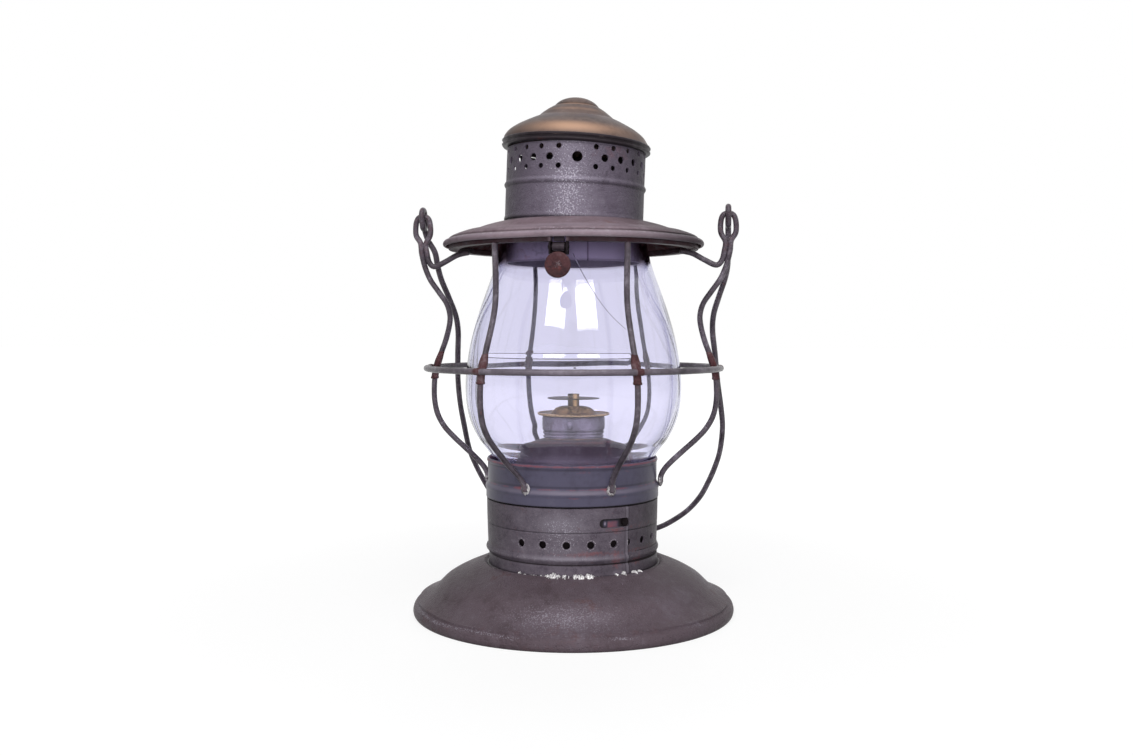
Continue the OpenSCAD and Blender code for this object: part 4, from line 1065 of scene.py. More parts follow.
@dataclass
class Fount:
    """The oil fount's body and dome, and its threaded neck."""

    shop: Workshop

    def dome(self) -> None:
        """The dark dome: a smooth outline with two pressed steps, closed by its inner side."""
        over = smooth_curve([[14.95, 88.1], [16.5, 87.75], [18.2, 87.0], [20.6, 85.6], [24.4, 83.1],
                             [27.0, 80.6], [28.1, 78.6], [28.7, 75.8], [29.1, 71.5], [30.0, 62.4],
                             [30.8, 58.6], [33.5, 56.2], [36.2, 55.2], [38.0, 54.2], [38.4, 53.05]], 7)
        under = offset(over[::-1], 0.6)[3:-3]
        s = lathed(np.concatenate([over, under, [[15.0, 87.3]]]), 160)
        z = s.points[:, 2]
        s = s.pushed(0.12 * ripple(np.radians(s.azimuth()), z, 5) * eased(s.radius(), 16, 20))
        # Stains are real; the lighter lower slope and front are painted sheen.
        s.marks(stain=peaks(z, (0.7, 86.5, 2.5), (0.4, 79, 3)),
                wear=0.25 * bump(z, 80.5, 2),
                polish=0.35 * faded(z, 79, 83) + 0.2 * bump(s.azimuth(), -12, 30))
        self.shop.piece("fount_dome", s, "base", Finish.DARK_STEEL, "fount_top")

    def build(self) -> None:
        """Builds the dome and dresses what is under it."""
        self.dome()
        self.shop.dress(Finish.INNER_SHADE_STEEL, "fount_body")
        self.shop.dress(Finish.BRASS, "fount_neck")


@dataclass
class Burner:
    """Burner collar, plate, wick tube, flame disc, wick and its raiser."""

    shop: Workshop
    wheel_x: float = -4.5
    shaft_z: float = 95.2

    def collar(self) -> None:
        """The plated collar: a plain band over two rounded thread ridges."""
        over = smooth_curve([[14.95, 88.95], [14.95, 89.4], [15.5, 89.9], [15.5, 90.3], [14.95, 90.8],
                             [15.0, 91.2], [15.6, 91.7], [15.55, 92.1], [15.2, 92.5]], 4)
        band = rounded([[15.2, 92.55], [15.9, 92.7], [16.1, 93.3], [16.1, 97.5], [15.8, 98.6],
                        [4.2, 98.78], [4.2, 98.0], [14.4, 97.9], [14.8, 96.9], [14.8, 92.6], [13.5, 91.9],
                        [13.5, 86.0], [12.3, 86.0], [12.3, 85.3], [13.4, 85.3], [13.6, 88.95]], 0.25, 3)
        s = lathed(np.concatenate([over, band]), 128)
        az, _, z = s.polar()
        # Painted reflections on the plated band: pale streaks left and right and a dark one in front;
        # painted shade on the sides. The edge wear and the stain are real.
        s.marks(wear=peaks(z, (0.4, 97.8, 0.7), (0.35, 93.0, 0.5)),
                stain=0.5 * bump(z, 90.6, 1.6),
                polish=peaks(az, (0.5, -24, 20), (0.3, 32, 22)),
                soot=0.4 * bump(az, 2, 15) + 0.3 * side_shade(az))

        def along(p: Array) -> Array:
            """Turns points so that their third coordinate runs to the back, at the shaft's height."""
            return np.column_stack([p[:, 0], p[:, 2], self.shaft_z + p[:, 1]])

        hole = drum(1.08, 0, 20, lambda p: along(p) + [self.wheel_x, 0, 0], 24, 0.01)
        peg = drum(0.9, -20, -10, along, 20, 0.01)
        self.shop.piece("burner_band", s, "base", Finish.NICKEL, "burner_collar", 30, [hole, peg])

    def rivet(self) -> None:
        """The rivet: a domed head outside the band with its shank inside it."""
        prof = smooth_curve([[0, 17.5], [0.7, 17.4], [1.3, 17.05], [1.6, 16.5], [1.62, 16.12]], 4)
        shank = np.array([[0.85, 16.1], [0.85, 14.95], [0.0, 14.95]])
        s = domed(np.concatenate([prof, shank]), 28).placed(facing(self.shaft_z))
        self.shop.piece("band_rivet", s, "base", Finish.NICKEL, "burner_rivet")

    def dome(self) -> None:
        """The shallow brass plate: a rolled rim, a ring of small holes and a low dome."""
        over = smooth_curve([[3.0, 103.55], [4.4, 103.5], [6.6, 103.35], [9.4, 102.4], [11.2, 100.7],
                             [11.9, 99.95], [12.6, 99.8], [15.5, 99.82], [17.6, 99.95], [18.3, 100.25],
                             [18.55, 99.9], [18.4, 99.4], [17.8, 99.05], [16.0, 98.85]], 5)
        under = smooth_curve([[11.3, 98.82], [4.0, 98.82], [4.0, 99.6], [10.6, 99.7], [10.3, 100.2],
                              [8.9, 101.6], [6.3, 102.6], [3.0, 102.8]], 1)
        sides = 144
        s = lathed(np.concatenate([over, under]), sides)
        low = np.where(np.arange(len(s.points)) < len(over) * sides, 99.9, 99.2)
        dip = 0.9 * bump(s.azimuth(), 14, 40) * eased(s.radius(), 3.2, 5.5)
        s.points[:, 2] -= np.clip(s.points[:, 2] - low, 0, None) * dip
        r = s.radius()
        s.marks(wear=peaks(r, (0.75, 18.3, 0.7), (0.3, 9, 2)), stain=0.35 * bump(r, 13, 3))
        pin = drum(0.7, 96, 104, lambda p: p - [0, 17.2, 0], 12, 0.01)
        pins = [pin.turned(15.0 * k) for k in range(24)]
        self.shop.piece("flame_plate", s, "base", Finish.BRASS, "burner_plate", 30, pins)

    def wick_pieces(self) -> None:
        """Wick tube with its gate for the spur wheel, and the thin disc round its top."""
        top = 109.9
        out = rounded([[3.0, 88.0], [3.0, 98.0], [3.0, 103.0], [3.0, 106.3], [3.0, top - 0.35],
                       [2.85, top], [2.6, top], [2.5, top - 0.3], [2.5, 98.0], [2.5, 88.0]], 0.1, 2)
        s = lathed(out, 64)
        az, z = s.azimuth(), s.points[:, 2]
        # Painted highlight on the right of the tube and painted shade on its left; the charred top is real
        # soot.
        s.marks(stain=0.5 * eased(z, 107.6, 109),
                polish=bump(az, 26, 30) * (1 - 0.5 * eased(z, 107, 108)),
                soot=0.75 * faded(az, -8, 6) + 0.6 * eased(z, 109.4, 109.9))
        gate = plate(np.array([[-8.0, 92.4], [-1.0, 92.4], [-1.0, 98.0], [-8.0, 98.0]]), -1.7, 1.7,
                     lambda p: np.column_stack([p[:, 0], p[:, 2], p[:, 1]]))
        self.shop.piece("wick_pipe", s, "base", Finish.BRASS, "wick_tube", 30, [gate])
        disc = smooth_curve([[3.0, 106.2], [5, 106.15], [9, 106.2], [12.4, 106.38], [13.4, 106.6],
                             [13.5, 106.75], [13.35, 106.9], [12.3, 106.72], [9, 106.55], [5, 106.5],
                             [3.0, 106.6]], 4) + [0, 0.9]
        s = lathed(disc, 128)
        a = np.radians(s.azimuth())
        s.points[:, 2] += 0.12 * np.sin(2 * a + 0.4) * eased(s.radius(), 5, 13)
        s.marks(stain=0.5 + 0.4 * bump(s.radius(), 5, 4), soot=0.8)
        self.shop.piece("flame_ring", s, "base", Finish.BRASS, "flame_disc")

    def build(self) -> None:
        """Builds the burner and dresses the raiser and the wick."""
        self.collar()
        self.rivet()
        self.dome()
        self.wick_pieces()
        self.shop.dress(Finish.BRASS, "raiser_shaft", "raiser_wheel", "raiser_knob")
        self.shop.dress(Finish.WICK_COTTON, "wick")


@dataclass
class Cage:
    """Frame collar, guard ring, upright wires, clips, solder, top band and the parts it carries."""

    shop: Workshop
    collar: float = 42.9
    joint: float = 58.0
    ring_r: float = 74.3
    ring_z: float = 123.0
    hold: float = 71.2
    foot: float = 44.3
    band: float = 63.4
    band_z: float = 182.5
    ear_x: float = 78.3
    ear_z: float = 201.0
    wire_r: float = 1.42
    azimuths: tuple[float, ...] = (-30.0, 30.0, 147.8, 207.8)
    drifts: tuple[float, ...] = (5.2, 0.6, 0.0, 0.0)

    def upright(self) -> Array:
        """Points of every upright wire from its foot to the ring, as (distance, height)."""
        parts = [[0.0, 0.114], [0.007, 0.16], [0.074, 0.214], [0.212, 0.277], [0.442, 0.365], [0.658, 0.446],
                 [0.844, 0.529], [0.978, 0.628], [1.037, 0.738], [1.045, 0.846], [1.03, 0.932], [1.0, 1.0]]
        return shares([self.foot, self.joint], [self.hold, self.ring_z], parts)

    def guard_path(self) -> Array:
        """Points of a plain guard wire from its foot to the band, as (distance, height)."""
        top = shares([self.hold, self.ring_z], [self.band - 1.4, self.band_z],
                     [[0.25, 0.128], [0.598, 0.279], [0.87, 0.407], [1.043, 0.528], [1.087, 0.672],
                      [1.043, 0.84], [1.0, 0.998]])
        return np.vstack([self.upright(), top])

    def ear_path(self) -> Array:
        """Points of a side wire: foot, ring, up to its eye, over its top and down to the band."""
        waist = self.hold - 6.9
        low = shares([self.hold, self.ring_z], [waist, self.ear_z],
                     [[0.26, 0.072], [0.725, 0.187], [1.0, 0.29], [1.0, 0.356]])
        rise = shares([waist, self.ring_z], [self.ear_x, self.ear_z],
                      [[0.121, 0.423], [0.407, 0.497], [0.729, 0.579], [0.936, 0.667], [1.057, 0.756],
                       [1.1, 0.823], [1.264, 0.874], [1.271, 0.94]])
        x, z = self.ear_x, self.ear_z
        arc = [[x + 2.9, z - 1.5], [x + 1.5, z - 0.35], [x, z], [x - 1.5, z - 0.35], [x - 2.9, z - 1.5]]
        fall = shares([waist, self.ring_z], [self.ear_x, self.ear_z],
                      [[0.729, 0.94], [0.736, 0.874], [0.9, 0.815], [0.857, 0.756], [0.771, 0.695],
                       [0.564, 0.665]])
        end = [[self.band + 3.0, self.band_z - 5.0], [self.band - 3.0, self.band_z - 1.75],
               [54.6, self.band_z - 0.4]]
        return np.vstack([self.upright(), low, rise, arc, fall, end])

    def wire(self, name: str, path: Array, azimuth: float, seed: int, node: str, drift: float = 0.0) -> None:
        """One bent wire in the upright plane at an azimuth.

        Its thickness varies by 3 percent as sines along its length, and its lowest 5 mm are
        hammered flat where they are soldered on.
        """
        curve = evened(smooth_curve(path, 10), 260)
        run = np.linspace(0, 1, len(curve))
        rng = np.random.default_rng(seed)
        uneven = sum(np.sin(f * run + rng.uniform(0, 6.3)) for f in (23, 51, 97, 160)) / 4
        r = self.wire_r * (1 + 0.03 * uneven)
        flat = 1 + 0.25 * faded(curve[:, 1], 66, 69)
        pts = np.column_stack([np.zeros(len(curve)), -curve[:, 0], curve[:, 1]])
        s = tube(pts, r, 18, up=(1.0, 0.0, 0.0), flat=flat)
        z = s.points[:, 2]
        turn = np.radians(drift) * faded(z, 64, 79)
        x, y = s.points[:, 0].copy(), s.points[:, 1].copy()
        s.points[:, 0] = x * np.cos(turn) - y * np.sin(turn)
        s.points[:, 1] = x * np.sin(turn) + y * np.cos(turn)
        s.marks(wear=0.35 * faded(z, 64.5, 67) + 0.3 * bump(z, self.ring_z + 12, 9),
                stain=0.8 * bump(z, self.ring_z, 14) + 0.5 * eased(z, 176, 183) + 0.5 * faded(z, 66, 72))
        self.shop.piece(name, s.turned(azimuth), "frame", Finish.GUARD_WIRE, node)

    def ring(self) -> None:
        """The guard ring: a bar of 3 mm on a circle, its thickness uneven by 2 percent."""
        n = 480
        a = np.linspace(0, 2 * math.pi, n, endpoint=False)
        path = np.column_stack([self.ring_r * np.sin(a), -self.ring_r * np.cos(a), np.full(n, self.ring_z)])
        r = 1.5 * (1 + 0.012 * np.sin(17 * a) + 0.01 * np.sin(43 * a + 1))
        s = tube(path, r, 20, closed=True, up=(0.0, 0.0, 1.0))
        az, _, z = s.polar()
        near = sum(bump(beside(az, c), 0, 5) for c in WIRE_AZIMUTHS)
        # Painted sheen in front and a painted highlight on the top of the ring at the front; the stains at
        # the clips are real.
        s.marks(polish=0.35 * bump(az, 5, 50),
                wear=0.6 * bump(az, 12, 30) * eased(z, self.ring_z - 0.4, self.ring_z + 1.4),
                stain=0.9 * near)
        self.shop.piece("guard_hoop", s, "frame", Finish.GUARD_WIRE, "guard_ring")

    def clip(self, path: Array, azimuth: float) -> list[Surface]:
        """One clip: a sheet sleeve round the wire, flared above the ring, and a strap over the ring.

        The sleeve's cross-section at height h is an ellipse round the wire whose half widths change
        with h. The strap is a flat band bent round the ring's bar.
        """
        near = smooth_curve(path, 10)[90:200]
        near = near[np.argsort(near[:, 1])]
        h = np.array([-5.9, -5.7, -5.2, -4.5, -2.4, -0.6, 1.2, 2.6, 3.6, 4.6, 5.6, 6.6, 7.6, 8.2])
        wide = np.array([1.7, 2.1, 2.25, 1.95, 1.9, 2.0, 2.15, 2.35, 2.4, 2.25, 2.0, 1.8, 1.6, 1.42])
        deep = np.array([1.7, 2.0, 2.1, 1.85, 1.8, 1.8, 1.85, 1.9, 1.9, 1.85, 1.75, 1.65, 1.55, 1.4])
        x = np.interp(self.ring_z + h, near[:, 1], near[:, 0])
        b = np.arange(20) * (2 * math.pi / 20)
        px = wide[:, None] * np.cos(b)
        py = -(x[:, None] + deep[:, None] * np.sin(b))
        pz = np.broadcast_to((self.ring_z + h)[:, None], px.shape)
        ends = [[0, -x[k], self.ring_z + h[k]] for k in (0, -1)]
        sleeve = capped(np.stack([px, py, pz], -1).reshape(-1, 3), len(b), ends)
        t = np.radians(np.linspace(-150, 150, 31))
        out = np.column_stack([self.ring_r + 1.68 * np.cos(t), self.ring_z + 1.68 * np.sin(t)])
        into = np.column_stack([self.ring_r + 1.46 * np.cos(t[::-1]), self.ring_z + 1.46 * np.sin(t[::-1])])
        strap = plate(np.concatenate([out, into]), -1.7, 1.7,
                      lambda p: np.column_stack([p[:, 2], -p[:, 0], p[:, 1]]))
        return [s.turned(azimuth) for s in (sleeve, strap)]

    def clips(self) -> None:
        """All six clips as one piece."""
        plain, ear = self.guard_path(), self.ear_path()
        made = [s for a in self.azimuths for s in self.clip(plain, a)]
        made += [s for a in (90.0, 270.0) for s in self.clip(ear, a)]
        s = joined(made)
        z = s.points[:, 2] - self.ring_z
        s.marks(wear=peaks(z, (0.35, -5.2, 1.2), (0.25, 0.8, 1.2)), soot=0.6 * bump(z, -6.0, 0.4))
        self.shop.piece("wire_clips", s, "frame", Finish.CLIP_STEEL, "ring_clips", 30)

    def foot_solder(self) -> None:
        """Six solder blobs: flattened balls on the collar, lumpy by sines of their two angles."""
        u = np.radians(np.linspace(0, 180, 15))[1:-1, None]
        v = np.radians(np.arange(24) * 15.0)
        wall, level, tall = self.foot - 0.2, self.joint + 8.0, 2.8
        tips = [[0, -wall, level + tall], [0, -wall, level - tall]]
        made = []
        places = [a + d for a, d in zip(self.azimuths, self.drifts)]
        for k, az in enumerate((*places, 90.0, 270.0)):
            lump = 1 + 0.14 * np.sin(3 * v + k) * np.sin(2 * u + k) + 0.1 * np.sin(5 * v + 2 * k)
            r = 2.35 * lump
            out = r * np.sin(u)
            x, y, z = out * np.cos(v), -(wall + out * np.sin(v) * 0.5), level + r * np.cos(u) * 1.15
            made.append(capped(np.stack([x, y, z], -1).reshape(-1, 3), len(v), tips).turned(az))
        s = joined(made)
        z = s.points[:, 2] - self.joint
        s.marks(wear=0.32 * bump(z, 7.0, 2.4), stain=0.6, soot=0.3)
        self.shop.piece("foot_solder", s, "frame", Finish.SOLDER, "wire_solder")

    def wall(self) -> None:
        """The upper collar: smooth wall, rounded bead and a rolled top edge."""
        z = np.concatenate([[58.2, 58.32], np.linspace(58.6, 61.4, 7), np.linspace(61.8, 68.4, 30),
                            np.linspace(68.9, 75.0, 10), [75.3]])
        out = self.collar + 0.85 * faded(z, 63.4, 66.6) + 0.4 * bump(z, 64.1, 2.0)
        out -= 0.14 * bump(z, 67.0, 1.0)
        out[:2] -= [0.32, 0.06]
        roll = smooth_curve([[42.85, 75.6], [43.1, 76.0], [43.35, 76.6], [43.3, 77.3], [42.95, 77.85],
                             [42.55, 77.95], [42.3, 77.5]], 4)
        back = np.array([[42.3, 72.0], [42.3, 60.5], [42.3, 58.2]])
        s = lathed(np.concatenate([np.column_stack([out, z]), roll, back]), 256)
        az, r, zz = s.polar()
        s = s.pushed((r > 42.6) * 0.07 * ripple(np.radians(az), zz, 21) * bump(zz, 68, 9))
        shine = bump(zz, 64.9, 1.5) * (0.4 + 0.6 * bump(az, 8, 60))
        s.points[:, 0] -= COLLAR_SHIFT
        feet = sum(bump(beside(az, c), 0, 6) for c in WIRE_AZIMUTHS) * bump(zz, 66, 5)
        # Painted highlight and sheen along the bead, painted shade along the foot, under the bead and under
        # the rolled top; the red lines are stains.
        s.marks(wear=0.4 * shine + 0.35 * bump(zz, 76.9, 0.9),
                polish=0.45 * shine,
                stain=peaks(zz, (0.6, 66.3, 1.0), (0.95, 77.2, 1.1)) + 0.5 * feet
                + 0.4 * bump(zz, 74.5, 1.5) + 0.35 * bump(zz, 62.6, 1.0),
                soot=0.95 * faded(zz, 58.25, 58.75) + peaks(zz, (0.35, 67.3, 0.9), (0.4, 75.35, 0.5)))
        self.shop.piece("upper_collar", s, "frame", Finish.FRAME_STEEL, "frame_collar")

    def sleeve(self) -> None:
        """The locking sleeve inside the lower collar: painted shade nearly black, with a red stain and a
        painted highlight in the slot.
        """
        face = [[42.0, z] for z in (44.75, 46.5, 47.5, 48.2, 48.9, 49.6, 50.3, 51.0, 51.5, 52.0, 52.5,
                                    54.0, 58.3)]
        s = lathed(np.array([[41.2, 44.6], [41.85, 44.6], *face, [42.3, 58.4], [42.3, 59.2],
                             [41.2, 59.2]]), 540)
        az, r, z = s.polar()
        face = r > 41.6
        red = eased(az, 28.0, 29.5) * faded(az, 35.0, 38.5) * faded(z, 50.6, 51.8)
        pale = bump(az, 27.2, 1.7) * bump(z, 49.9, 2.0)
        # Painted shade makes the sleeve black through the slot; the pale patch is a painted highlight on the
        # dimpled end.
        s.marks(soot=np.where(face, 0.97 * (1 - np.clip(red + 1.4 * pale, 0, 1)), 0.97),
                stain=face * red, wear=face * 0.8 * pale)
        self.shop.piece("turn_sleeve", s, "frame", Finish.FRAME_STEEL, "lock_sleeve")

    def top(self) -> None:
        """The band under the brim, a flat ring with eased edges and a gap for the latch."""
        r, z = self.band, self.band_z
        s = lathed(rounded([[r - 5.35, z + 0.05], [r - 0.05, z + 0.05], [r - 0.05, z + 2.95],
                            [r - 5.35, z + 2.95]], 0.5, 3), 224)
        # Stained, and darkened with painted shade where it lies under the brim.
        s.marks(stain=0.7, soot=0.72)
        corners = np.array([[-3.64, -70.0], [3.64, -70.0], [3.64, -56.0], [-3.64, -56.0]])
        gap = plate(corners, z - 2, z + 6, lambda p: p)
        self.shop.piece("wire_band", s, "frame", Finish.BRIM_STEEL, "top_band", 30, [gap])

    def build(self) -> None:
        """Builds every piece of the cage."""
        self.wall()
        self.ring()
        plain, ear = self.guard_path(), self.ear_path()
        names = ("front_left", "front_right", "rear_right", "rear_left")
        for k, (n, a) in enumerate(zip(names, self.azimuths)):
            self.wire(f"upright_{n}", plain, a, 31 + k, f"guard_wire_{n}", self.drifts[k])
        self.wire("ear_wire_right", ear, 90.0, 41, "side_wire_right")
        self.wire("ear_wire_left", ear, 270.0, 42, "side_wire_left")
        self.clips()
        self.foot_solder()
        self.top()
        self.sleeve()
        self.shop.dress(Finish.INNER_SHADE_STEEL, "lock_studs", "globe_seat")
        self.shop.dress(Finish.DARK_STEEL, "hinge_leaf_frame", "hinge_pin")


@dataclass
class Globe:
    """The tall blown globe, drawn with its inner side, a blank raised panel and mould seams."""

    shop: Workshop
    foot_z: float = 60.2
    height: float = 132.2
    bulge: float = 54.8
    bulge_h: float = 52.6
    foot: float = 39.0
    mouth_in: float = 17.8
    wall: float = 2.4

    def outline(self) -> Array:
        """The outer outline (radius, height above the foot), evenly spaced."""
        low = shares([self.foot, 0], [self.bulge, self.bulge_h],
                     [[0.0, 0.02], [0.019, 0.143], [0.063, 0.247], [0.152, 0.342], [0.335, 0.422],
                      [0.544, 0.502], [0.734, 0.605], [0.886, 0.722], [0.975, 0.856], [1.0, 1.0]])
        high = shares([self.bulge, self.bulge_h], [self.bulge - self.mouth_in, self.height],
                      [[0.022, 0.106], [0.09, 0.224], [0.213, 0.354], [0.382, 0.485], [0.579, 0.613],
                       [0.77, 0.731], [0.904, 0.832], [0.983, 0.922], [1.0, 0.99]])
        return evened(smooth_curve(np.concatenate([low, high]), 12), 132)

    def scratch(self, out: Array) -> Surface:
        """A fine scratch on the front, a thread along the surface from under the disc to the right."""
        az = np.array([6.0, 11.5, 20.8, 28.0, 35.6])
        z = np.array([178.5, 170.0, 156.7, 148.5, 142.3])
        r = np.interp(z - self.foot_z, out[:, 1], out[:, 0]) + 0.02
        a = np.radians(az)
        path = evened(smooth_curve(np.column_stack([r * np.sin(a), -r * np.cos(a), z]), 12), 90)
        return tube(path, np.interp(np.arange(90), [0, 30, 89], [0.26, 0.2, 0.12]), 6, up=(0.0, -1.0, 0.0))

    def build(self) -> None:
        """Builds the glass.

        The inner side is the outer one moved inwards by 2.4 mm, less towards the neck, and both are
        uneven by smooth ripples. A panel on the front stands 0.45 mm proud with soft edges, and two
        thin seams run up the sides.
        """
        out = self.outline()
        inner = offset(out, -1.0)
        inward = inner - out
        inward *= np.sign(-inward[:, :1] + 1e-9)
        thick = self.wall - 0.5 * eased(out[:, 1], 100, 118)
        back = out + inward * thick[:, None]
        back[:, 0] = np.clip(back[:, 0], 0, out[:, 0] - 0.85 * self.wall)
        back = back[2:-2][::-2]
        lip = smooth_curve([out[-1], out[-1] + [-0.7, 0.75], out[-1] + [-1.5, 1.0], out[-1] + [-2.3, 0.7],
                            [back[0, 0] + 0.15, back[0, 1] + 1.2]], 3)
        base = smooth_curve([[back[-1, 0] + 0.1, back[-1, 1] - 1.2], out[0] + [-2.3, 0.1],
                             out[0] + [-1.5, -0.25], out[0] + [-0.6, -0.2]], 3)
        prof = np.concatenate([out, lip[1:], back, base])
        sides = 272
        s = lathed(prof + [0, self.foot_z], sides)
        az, z = s.azimuth(), s.points[:, 2]
        rows = np.repeat(np.arange(len(prof)), sides)
        outer = rows < len(out)
        panel = eased(az, -49.5, -46.5) * faded(az, 35.0, 38.0)
        panel = panel * eased(z, 88.0, 97.5) * faded(z, 129.2, 131.0)
        seams = sum(bump(beside(az, c), 0, 0.9) for c in (84, 264))
        seams = seams * eased(z, 70, 80) * faded(z, 175, 182)
        wave = ripple(np.radians(az), z, 77, 9)
        move = np.where(outer, 0.45 * panel + 0.12 * seams + 0.05 * wave,
                        0.16 * ripple(np.radians(az), z * 1.6, 78, 11))
        inside = (z > self.foot_z + 1.5) & (z < self.foot_z + self.height - 2)
        s = s.pushed(move * inside)
        # Painted shade on the sides of the neck, under the brim.
        s.marks(smoke=0.85 * eased(z, 174.2, 176.2) * eased(np.abs(az - 6), 46, 60))
        scratch = self.scratch(out)
        # The scratch is darkened with the same colour.
        scratch.marks(smoke=0.5)
        s = joined([s, scratch])
        self.shop.piece("globe_glass", s, "frame", Finish.GLOBE_GLASS, "globe", 80)


@dataclass
class Latch:
    """Bracket, pin, lever and thumb disc under the front of the brim."""

    shop: Workshop
    y: float = -62.0
    z: float = 180.0
    disc_z: float = 171.6

    def lever(self) -> None:
        """The lever: its side outline, eased, given the lever's width, and an eye round the pin."""
        w = 5.6
        shape = rounded(w * np.array([[-0.21, 0.02], [-0.44, -0.71], [-0.46, -2.4], [-0.3, -2.43],
                                      [-0.3, -0.66], [0.16, -0.1], [0.12, 0.54], [0.16, 0.57],
                                      [0.16, 0.74], [-0.09, 0.75]]), 0.3, 3)

        def across(p: Array) -> Array:
            """Turns the side view's points so that their third coordinate runs along the pin."""
            return np.column_stack([p[:, 2], self.y + p[:, 0], self.z + p[:, 1]])

        blade = plate(shape, -w / 2, w / 2, across)
        barrel = drum(1.9, -w / 2, w / 2, across, 32)
        pin = drum(0.88, -w, w, across, 24, 0.01)
        mesh = pierce(into_mesh("thumb_lever", blade), [pin])
        eye = pierce(into_mesh("lever_barrel", barrel), [pin])
        both = bmesh.new()
        both.from_mesh(mesh)
        both.from_mesh(eye)
        both.to_mesh(mesh)
        both.free()
        self.shop.piece("thumb_lever", mesh, "latch", Finish.DARK_STEEL, "latch_lever", 30)

    def disc(self) -> None:
        """The thumb disc: a coin with an eased rim and a slightly dished face."""
        prof = smooth_curve([[0, 1.35], [2.2, 1.4], [4.3, 1.55], [5.3, 1.6], [5.85, 1.35], [6.0, 0.8],
                             [5.85, 0.2], [5.5, 0.0], [3, 0.0], [0, 0.0]], 5)
        s = domed(prof, 72)
        p, r = s.points, s.radius()
        worn = glow(p[:, 0], 0.2, 2.6) * glow(p[:, 1], 0.3, 3.2) * (p[:, 2] > 0.8)
        s = s.placed(facing(self.disc_z, self.y - 2.62))
        # A paler rubbed face and rim, and painted shade over the lower half.
        s.marks(wear=0.62 * worn + 0.4 * bump(r, 5.7, 0.5),
                soot=0.35 * eased(-p[:, 1], -1, 5) + 0.1)
        self.shop.piece("thumb_disc", s, "latch", Finish.CLIP_STEEL, "latch_disc")

    def build(self) -> None:
        """Builds lever and disc and dresses bracket and pin."""
        self.lever()
        self.disc()
        self.shop.dress(Finish.INNER_SHADE_STEEL, "latch_bracket", "latch_pin")


